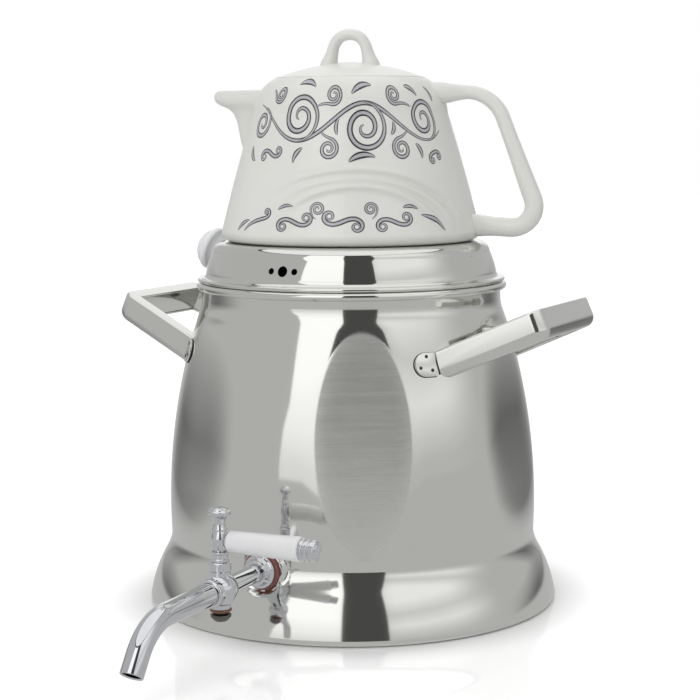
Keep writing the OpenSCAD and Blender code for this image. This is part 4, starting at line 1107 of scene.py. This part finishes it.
def pot_lid():
    """The domed lid with its plug ring, and the loop that it is lifted by."""
    seat, edge = LEDGE_Z + 0.1, POT_H + 0.2
    plug = LEDGE_R - 0.4
    line = [(0, seat), (plug - 3, seat), (plug - 3, seat - 8), (plug, seat - 8), (plug, seat)]
    line += [(LID_EDGE_R, seat)]
    line += filleted([(LID_EDGE_R, seat, 0), (LID_EDGE_R, edge + 0.4, 0.9), (LID_EDGE_R - 3, edge + 1.0, 0)],
                     closed=False)[1:-1]
    line += arc((LID_EDGE_R - 2, edge + 0.9), (0, DOME_TOP), 1.5, 30)
    show(spun("pot_lid_dome", line, GLAZE, POT, 160, sharp=50), "teapot_lid", "teapot_glaze", "teapot_lid")
    half = ((12.2, 28.0, 1.85), (12.1, 22.0, 1.75), (11.8, 19.2, 1.50), (11.2, 17.0, 1.25),
            (10.4, 14.2, 1.08), (9.8, 11.4, 1.0), (8.7, 8.6, 0.98), (6.8, 5.7, 0.98), (3.9, 3.9, 0.98))
    rise = [(-x, LID_LOOP_TOP - drop, g) for x, drop, g in half]
    fall = [(-x, z, g) for x, z, g in reversed(rise)]
    path = [(x, -z, 0.0, g) for x, z, g in eased(rise + [(0, LID_LOOP_TOP - 3.2, 0.98)] + fall)]
    half_t, half_d = LID_LOOP_T / 2, LID_LOOP_DEPTH / 2
    section = [(half_t * math.cos(t), half_d * math.sin(t)) for t in np.arange(32) * 2 * math.pi / 32]
    turn = (POT.to_3x3() @ Matrix.Rotation(-math.pi / 2, 3, "X")).to_euler()
    made = swept("pot_lid_loop", path, section, GLAZE, place=(0, 0, POT_Z), turn=turn, sharp=60)
    show(made, "teapot_lid", "teapot_glaze", "teapot_lid_loop")


# Teapot print


def swelling(line, thick, peak):
    """Gives each point of a line a half-width that swells to thick and thins out at both ends."""
    last = len(line) - 1
    shares = [(i / last) ** (math.log(0.5) / math.log(peak)) for i in range(last + 1)]
    return [(x, y, thick * (0.28 + 1.0 * math.sin(math.pi * t) ** 0.9)) for (x, y), t in zip(line, shares)]


def volute(centre, radius, angle, turns, spin, thick, tail, sway):
    """A spiral that winds in from a start angle in degrees, with a tail that sways out behind it."""
    steps = int(turns * 48)
    spiral = []
    for k in range(steps + 1):
        t = k / steps
        a = math.radians(angle) + spin * t * turns * 2 * math.pi
        r = radius * ((1 - t) ** 0.85 * 0.9 + 0.1)
        spiral.append((centre[0] + r * math.cos(a), centre[1] + r * math.sin(a)))
    (x, y), (x2, y2) = spiral[0], spiral[1]
    way, back, pieces = math.atan2(y - y2, x - x2), [], int(tail / 0.6)
    for k in range(pieces):
        way += math.radians(sway) * tail / pieces
        x, y = x + math.cos(way) * tail / pieces, y + math.sin(way) * tail / pieces
        back.append((x, y))
    return swelling(back[::-1] + spiral, thick, 0.4)


def scroll(middle, heading, length, turns, thick, peak=0.5):
    """A line that curls up at both ends: turns are counted from its middle to each end, left positive."""
    halves = []
    for way, turn in ((math.pi, turns[0]), (0.0, turns[1])):
        (x, y), angle, steps, half = middle, math.radians(heading) + way, 60, []
        for k in range(steps):
            angle += turn * 4 * math.pi * (k + 0.5) / steps ** 2
            x, y = x + math.cos(angle) * length / 2 / steps, y + math.sin(angle) * length / 2 / steps
            half.append((x, y))
        halves.append(half)
    return swelling(halves[0][::-1] + [middle] + halves[1], thick, peak)


def leaf(p, q, bow, thick):
    """A bowed stroke from p to q with pointed ends."""
    return swelling(arc(p, q, bow, 24), thick, 0.45)


def vine(x):
    """Height of the wavy stem that the upper band grows from."""
    return 67 - 10 * math.cos(2 * math.pi * (x + 30) / 84)


def scroll_lines():
    """The print's layout, in millimetres across from its middle and up from the pot's foot."""
    band = [
        swelling([(x, vine(x)) for x in np.linspace(-68, 68, 240)], 1.1, 0.5),
        volute((-30, 69.8), 13.2, 270, 1.9, 1, 1.35, 0, 0), volute((12, 63.8), 13.6, 90, 1.9, -1, 1.4, 0, 0),
        volute((54, 68.4), 11.8, 270, 1.8, 1, 1.25, 0, 0), volute((-63, 66.4), 8.6, 82, 1.7, -1, 1.1, 0, 0),
        volute((-8, 81.5), 5.4, 250, 1.7, 1, 0.95, 10, 4),
        volute((33, 81.5), 5.2, 290, 1.7, -1, 0.95, 10, -4),
        volute((-49, 82), 4.6, 200, 1.6, 1, 0.9, 7, 6), volute((-10, 52.5), 5.6, 80, 1.7, -1, 0.95, 8, -3),
        volute((34, 52.5), 5.8, 100, 1.7, 1, 0.95, 8, 3), scroll((-48, 50), -30, 40, (1.4, 1.5), 0.95),
        scroll((57, 50), 18, 30, (1.4, -1.4), 0.9), leaf((-36, 87.5), (-22, 86), -2.0, 1.3),
        leaf((4, 82), (18, 86.5), -2.2, 1.5), leaf((44, 86), (52, 81), -1.6, 1.2),
        leaf((2, 45.5), (17, 48), -2.4, 1.5), leaf((-26, 53), (-31, 45), 1.5, 1.2),
        leaf((44, 55), (47, 47), -1.5, 1.1), leaf((-5, 60), (-4, 69), -1.4, 1.0),
        leaf((28, 60), (30, 67), 1.4, 1.0), leaf((67, 78), (64, 86), 1.5, 1.0),
        leaf((-68, 54), (-62, 46), 1.6, 1.1)]
    frieze = [
        scroll((-45, 15), 14, 30, (0.12, 1.5), 0.9, 0.45), scroll((-26, 13.5), -26, 48, (1.5, 1.5), 1.0),
        scroll((-1, 14), 24, 52, (-1.5, -1.5), 1.1), scroll((25, 13.5), -26, 48, (1.5, 1.5), 1.0),
        leaf((-64, 8), (-55, 14), -1.2, 0.9), leaf((40, 17), (54, 8), -1.6, 1.0),
        volute((-14, 20.5), 3.6, 200, 1.6, -1, 0.65, 5, 8), volute((13, 20.5), 3.4, 340, 1.6, 1, 0.65, 5, -8),
        leaf((-36, 20), (-27, 22), -1.2, 0.8), leaf((30, 21), (38, 20), -1.2, 0.8)]
    return band + frieze


def pot_print(body):
    """The scroll print, laid on both sides of the pot."""
    outline = section_curve("ribbon_section", [
        (-1, -2), (1, -2), (1, 0.5), (0.9, 0.8), (0.56, 0.8), (0.42, 0.8), (0, 0.8), (-0.42, 0.8),
        (-0.56, 0.8), (-0.9, 0.8), (-1, 0.5)], 1.0)
    for word, azimuth in PRINT_SIDES:
        lines = [[(x * MM, (POT_Z + y) * MM, k % 8 * RIBBON_STEP * MM, w * MM) for x, y, w in line]
                 for k, line in enumerate(scroll_lines())]
        made = grown("scrolls_" + word, drawn("scroll_paths", lines), WRAPPED, {
            "Section": outline, "Body": body, "Wrap Radius": WRAP_R * MM, "Reach": WRAP_REACH * MM,
            "Turn": math.radians(azimuth), "Material": PRINT}, 60)
        show(made, "teapot", "teapot_glaze")
    bpy.data.objects.remove(outline)


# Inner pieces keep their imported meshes


def coat_inner_nodes():
    """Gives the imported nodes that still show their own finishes."""
    coats = {
        "kettle_floor": LID_STEEL, "heat_spreader": ALUMINIUM, "base_cap": BASE_STEEL,
        "inner_washer": SILICONE, "lock_nut": BRASS, "gland_packing": PACKING, "tap_plug": BRASS,
        "lever_arm": ZINC, "knob_screw": ZINC, "left_lining_screws": ZINC, "right_lining_screws": ZINC}
    for node, material in coats.items():
        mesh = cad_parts[node].data
        mesh.materials.clear()
        mesh.materials.append(material)


# Stage

CAMERA_AZIMUTH, CAMERA_AWAY, CAMERA_UP = 26.6, 1000.0, 266.863
CAMERA_PITCH, CAMERA_YAW, CAMERA_ROLL, FOCAL_PX, PHOTO_PX, SENSOR = 7.1, -0.057, -0.343, 1738.763, 700.0, 36.0


def set_camera():
    """The camera at the photograph's place and angle."""
    camera = bpy.data.cameras.new("camera")
    camera.sensor_width, camera.lens = SENSOR, FOCAL_PX * SENSOR / PHOTO_PX
    camera.clip_start, camera.clip_end = 0.05, 60.0
    made = linked("camera", camera)
    turn = math.radians(CAMERA_AZIMUTH)
    made.location = Vector((math.sin(turn) * CAMERA_AWAY, -math.cos(turn) * CAMERA_AWAY, CAMERA_UP)) * MM
    made.rotation_euler = (
        Matrix.Rotation(math.radians(CAMERA_AZIMUTH - CAMERA_YAW), 3, "Z")
        @ Matrix.Rotation(math.radians(90 - CAMERA_PITCH), 3, "X")
        @ Matrix.Rotation(math.radians(CAMERA_ROLL), 3, "Z")).to_euler()
    bpy.context.scene.camera = made


def seen_straight(start):
    """1 for rays from the camera, from metal and through glass, and 0 for the rest."""
    light = start.node("ShaderNodeLightPath", out="Is Camera Ray")
    glossy = Wire(start.tree, light.socket.node.outputs["Is Glossy Ray"])
    through = Wire(start.tree, light.socket.node.outputs["Is Transmission Ray"])
    return start.maths("MINIMUM", light + glossy + through, 1.0)


def white_world():
    """A white surround whose light on the object stays at a plain level."""
    world = bpy.data.worlds.new("white_surround")
    world.use_nodes = True
    bpy.context.scene.world = world
    back = world.node_tree.nodes["Background"]
    back.inputs["Color"].default_value = (1, 1, 1, 1)
    start = Wire(world.node_tree)
    (0.68 + seen_straight(start) * 0.32).into(back, "Strength")


FLOOR_Z, FLOOR_HALF, FLOOR_GLOW, FAR_GLOW, CLOTH_TONE = -0.0002, 6.0, 0.40, 0.6, 0.52


def bare_material(name):
    """A material with an empty tree, and a wire to start in it."""
    material = bpy.data.materials.new(name)
    material.use_nodes = True
    material.node_tree.nodes.clear()
    return material, Wire(material.node_tree)


def white_floor():
    """A pale glossy floor that shows white and keeps the object's shadow, with a painted contact shadow round
    the kettle's foot.
    """
    mesh = bpy.data.meshes.new("floor")
    corners = ((-1, -1), (1, -1), (1, 1), (-1, 1))
    mesh.from_pydata([(x * FLOOR_HALF, y * FLOOR_HALF, FLOOR_Z) for x, y in corners], [], [(0, 1, 2, 3)])
    material, start = bare_material("floor_white")
    matt = start.node("ShaderNodeBsdfDiffuse", None, {"Color": (0.8, 0.8, 0.8, 1)})
    place = start.node("ShaderNodeTexCoord", out="Object")
    away = start.node("ShaderNodeVectorMath", {"operation": "LENGTH"}, {0: place}, "Value")
    far = smooth_rise(start, away, 0.5, 2.6, FLOOR_GLOW, FAR_GLOW)
    # Painted shadow: the glow fades out within 0.15 m of the middle, so the floor is painted darker round the
    # kettle's foot
    near = smooth_rise(start, away, 0.108, 0.150)
    glow = start.node("ShaderNodeEmission", None, {"Strength": seen_straight(start) * far * near})
    lit = start.node("ShaderNodeAddShader", None, {0: matt, 1: glow})
    gloss = start.node("ShaderNodeBsdfGlossy", None, {"Roughness": 0.05, "Color": (1, 1, 1, 1)})
    mixed = start.node("ShaderNodeMixShader", None, {0: 0.18, 1: lit, 2: gloss})
    mixed.into(start.tree.nodes.new("ShaderNodeOutputMaterial"), "Surface")
    mesh.materials.append(material)
    made = linked("floor", mesh)


# Brightness of the studio wall at angles to the right of the camera, in degrees
WALL_TONES = ((-180, 1.0), (-168, 0.95), (-158, 0.52), (156, 0.52), (166, 0.95), (180, 1.0))


def glow_material(name, build):
    """A card that gives off the brightness that build wires up in its tree, towards the object alone."""
    material, start = bare_material(name)
    glow = start.node("ShaderNodeEmission", None, {"Color": build(start), "Strength": 1.0})
    clear = start.node("ShaderNodeBsdfTransparent")
    inner = start.node("ShaderNodeNewGeometry", out="Backfacing")
    card = start.node("ShaderNodeMixShader", None, {0: inner, 1: clear, 2: glow})
    card.into(start.tree.nodes.new("ShaderNodeOutputMaterial"), "Surface")
    return material


def card_tone(start):
    """The brightness that a card's own points carry."""
    return start.node("ShaderNodeAttribute", {"attribute_name": "tone"}, out="Fac")


def wall_tone(start):
    """The studio wall's brightness by its angle from the camera."""
    place = start.node("ShaderNodeTexCoord", out="Object")
    turned = start.node("ShaderNodeVectorRotate", {"rotation_type": "Z_AXIS"}, {
        "Vector": place, "Angle": math.radians(90 - CAMERA_AZIMUTH)})
    east, north = axis(start, turned, "X"), axis(start, turned, "Y")
    angle = start.maths("ARCTAN2", north, east) * (0.5 / math.pi) + 0.5
    return start.node("ShaderNodeValToRGB", {
        "stops": [((a + 180) / 360, (v, v, v, 1)) for a, v in WALL_TONES]}, {0: angle})


def studio_card(name, profile, angles, material, fade=0.0, starts=None):
    """A band over angles to the right of the camera, along a profile of (radius, height, tone) points
    in metres, that only metal and glaze see. With a fade its tones pass into grey at both sides.
    With starts its left edge slants, with an angle for each point of the profile."""
    steps = 96
    spots = []
    for (radius, height, _), first in zip(profile, starts or [angles[0]] * len(profile)):
        for turn in np.linspace(first, angles[1], steps + 1) + CAMERA_AZIMUTH - 90:
            t = math.radians(turn)
            spots.append((radius * math.cos(t), radius * math.sin(t), height))
    row = steps + 1
    faces = [(k * row + i, k * row + i + 1, (k + 1) * row + i + 1, (k + 1) * row + i)
             for k in range(len(profile) - 1) for i in range(steps)]
    mesh = bpy.data.meshes.new(name)
    mesh.from_pydata(spots, [], faces)
    across = np.abs(np.linspace(-1, 1, steps + 1))
    plain = smooth_step(1 - fade, 1.0, across) if fade else across * 0
    tones = np.concatenate([tone + (CLOTH_TONE - tone) * plain for _, _, tone in profile])
    mesh.attributes.new("tone", "FLOAT", "POINT").data.foreach_set("value", tones.astype(np.float32))
    mesh.materials.append(material)
    made = linked(name, mesh)
    made.visible_camera = made.visible_diffuse = made.visible_shadow = False


def studio():
    """A grey wall with a white board, a pale board and a dark flag before it, a dark edge at its top,
    a grey cloth on the floor and a soft shade at each side."""
    boards, tone = glow_material("studio_boards", wall_tone), glow_material("card_tone", card_tone)
    studio_card("studio_wall", ((2.6, -0.3, 0), (2.6, 2.9, 0)), (-180, 180), boards)
    studio_card("white_board", ((2.58, -0.3, 0.80), (2.58, 0.15, 0.86), (2.58, 0.45, 1.06), (2.58, 0.7, 1.14),
                                (2.58, 1.0, 1.24), (2.58, 2.9, 1.30)), (-40.0, -5.5), tone,
                starts=(-45.0, -45.0, -43.6, -40.6, -40.0, -40.0))
    studio_card("dark_flag", ((2.5, -0.3, 0.07), (2.5, 2.9, 0.07)), (-6.3, 19.0), tone)
    studio_card("pale_board", ((2.55, -0.3, 0.55), (2.55, 0.15, 0.56), (2.55, 0.35, 0.68), (2.55, 0.65, 0.90),
                               (2.55, 1.1, 0.70), (2.55, 1.7, 0.98), (2.55, 2.9, 1.0)),
                (-5.0, 94.0), tone, 0.7)
    studio_card("ceiling_edge", ((2.59, 2.9, 0.1), (2.38, 2.9, 0.1)), (-180, 180), tone)
    studio_card("grey_cloth", ((0.1185, -0.0001, CLOTH_TONE), (2.59, -0.0001, CLOTH_TONE)), (-180, 180), tone)
    for name, angles, dark in (("left_shade", (-164, -84), 0.16), ("right_shade", (90, 164), 0.14)):
        studio_card(name, ((0.24, 0.0, CLOTH_TONE), (0.50, 0.0, dark + 0.06), (2.5, 0.0, dark),
                           (2.5, 0.10, dark + 0.08), (2.5, 0.45, CLOTH_TONE)), angles, tone, 1.0)


def soft_lamp(name, place, aim, size, watts):
    """A square soft lamp that lights matt surfaces and leaves no mirror image of itself."""
    lamp = bpy.data.lights.new(name, "AREA")
    lamp.size, lamp.energy = size, watts
    made = linked(name, lamp)
    made.location = place
    made.rotation_euler = (Vector(aim) - Vector(place)).to_track_quat("-Z", "Y").to_euler()
    made.visible_glossy = False


# Making

set_camera()
white_world()
white_floor()
studio()
soft_lamp("key_lamp", (-0.3, -1.8, 1.5), (0, 0, 0.2), 1.4, 13.0)
soft_lamp("top_lamp", (-0.1, 0.9, 2.0), (0, 0, 0.1), 1.2, 9.0)
bpy.context.scene.view_settings.view_transform = "Standard"

kettle_body()
lid_cover()
lid_knob()
cutter = barrel_cutter()
for side, word in ((-1, "left"), (1, "right")):
    side_handle(side, word, cutter)
    handle_lugs(side, word)
bpy.data.objects.remove(cutter)
tap_seat()
tap_ball()
tap_spout()
tap_stack()
tap_lever()
tap_underside()
pot = pot_body()
pot_spout()
pot_handle()
pot_lid()
pot_print(pot)
coat_inner_nodes()
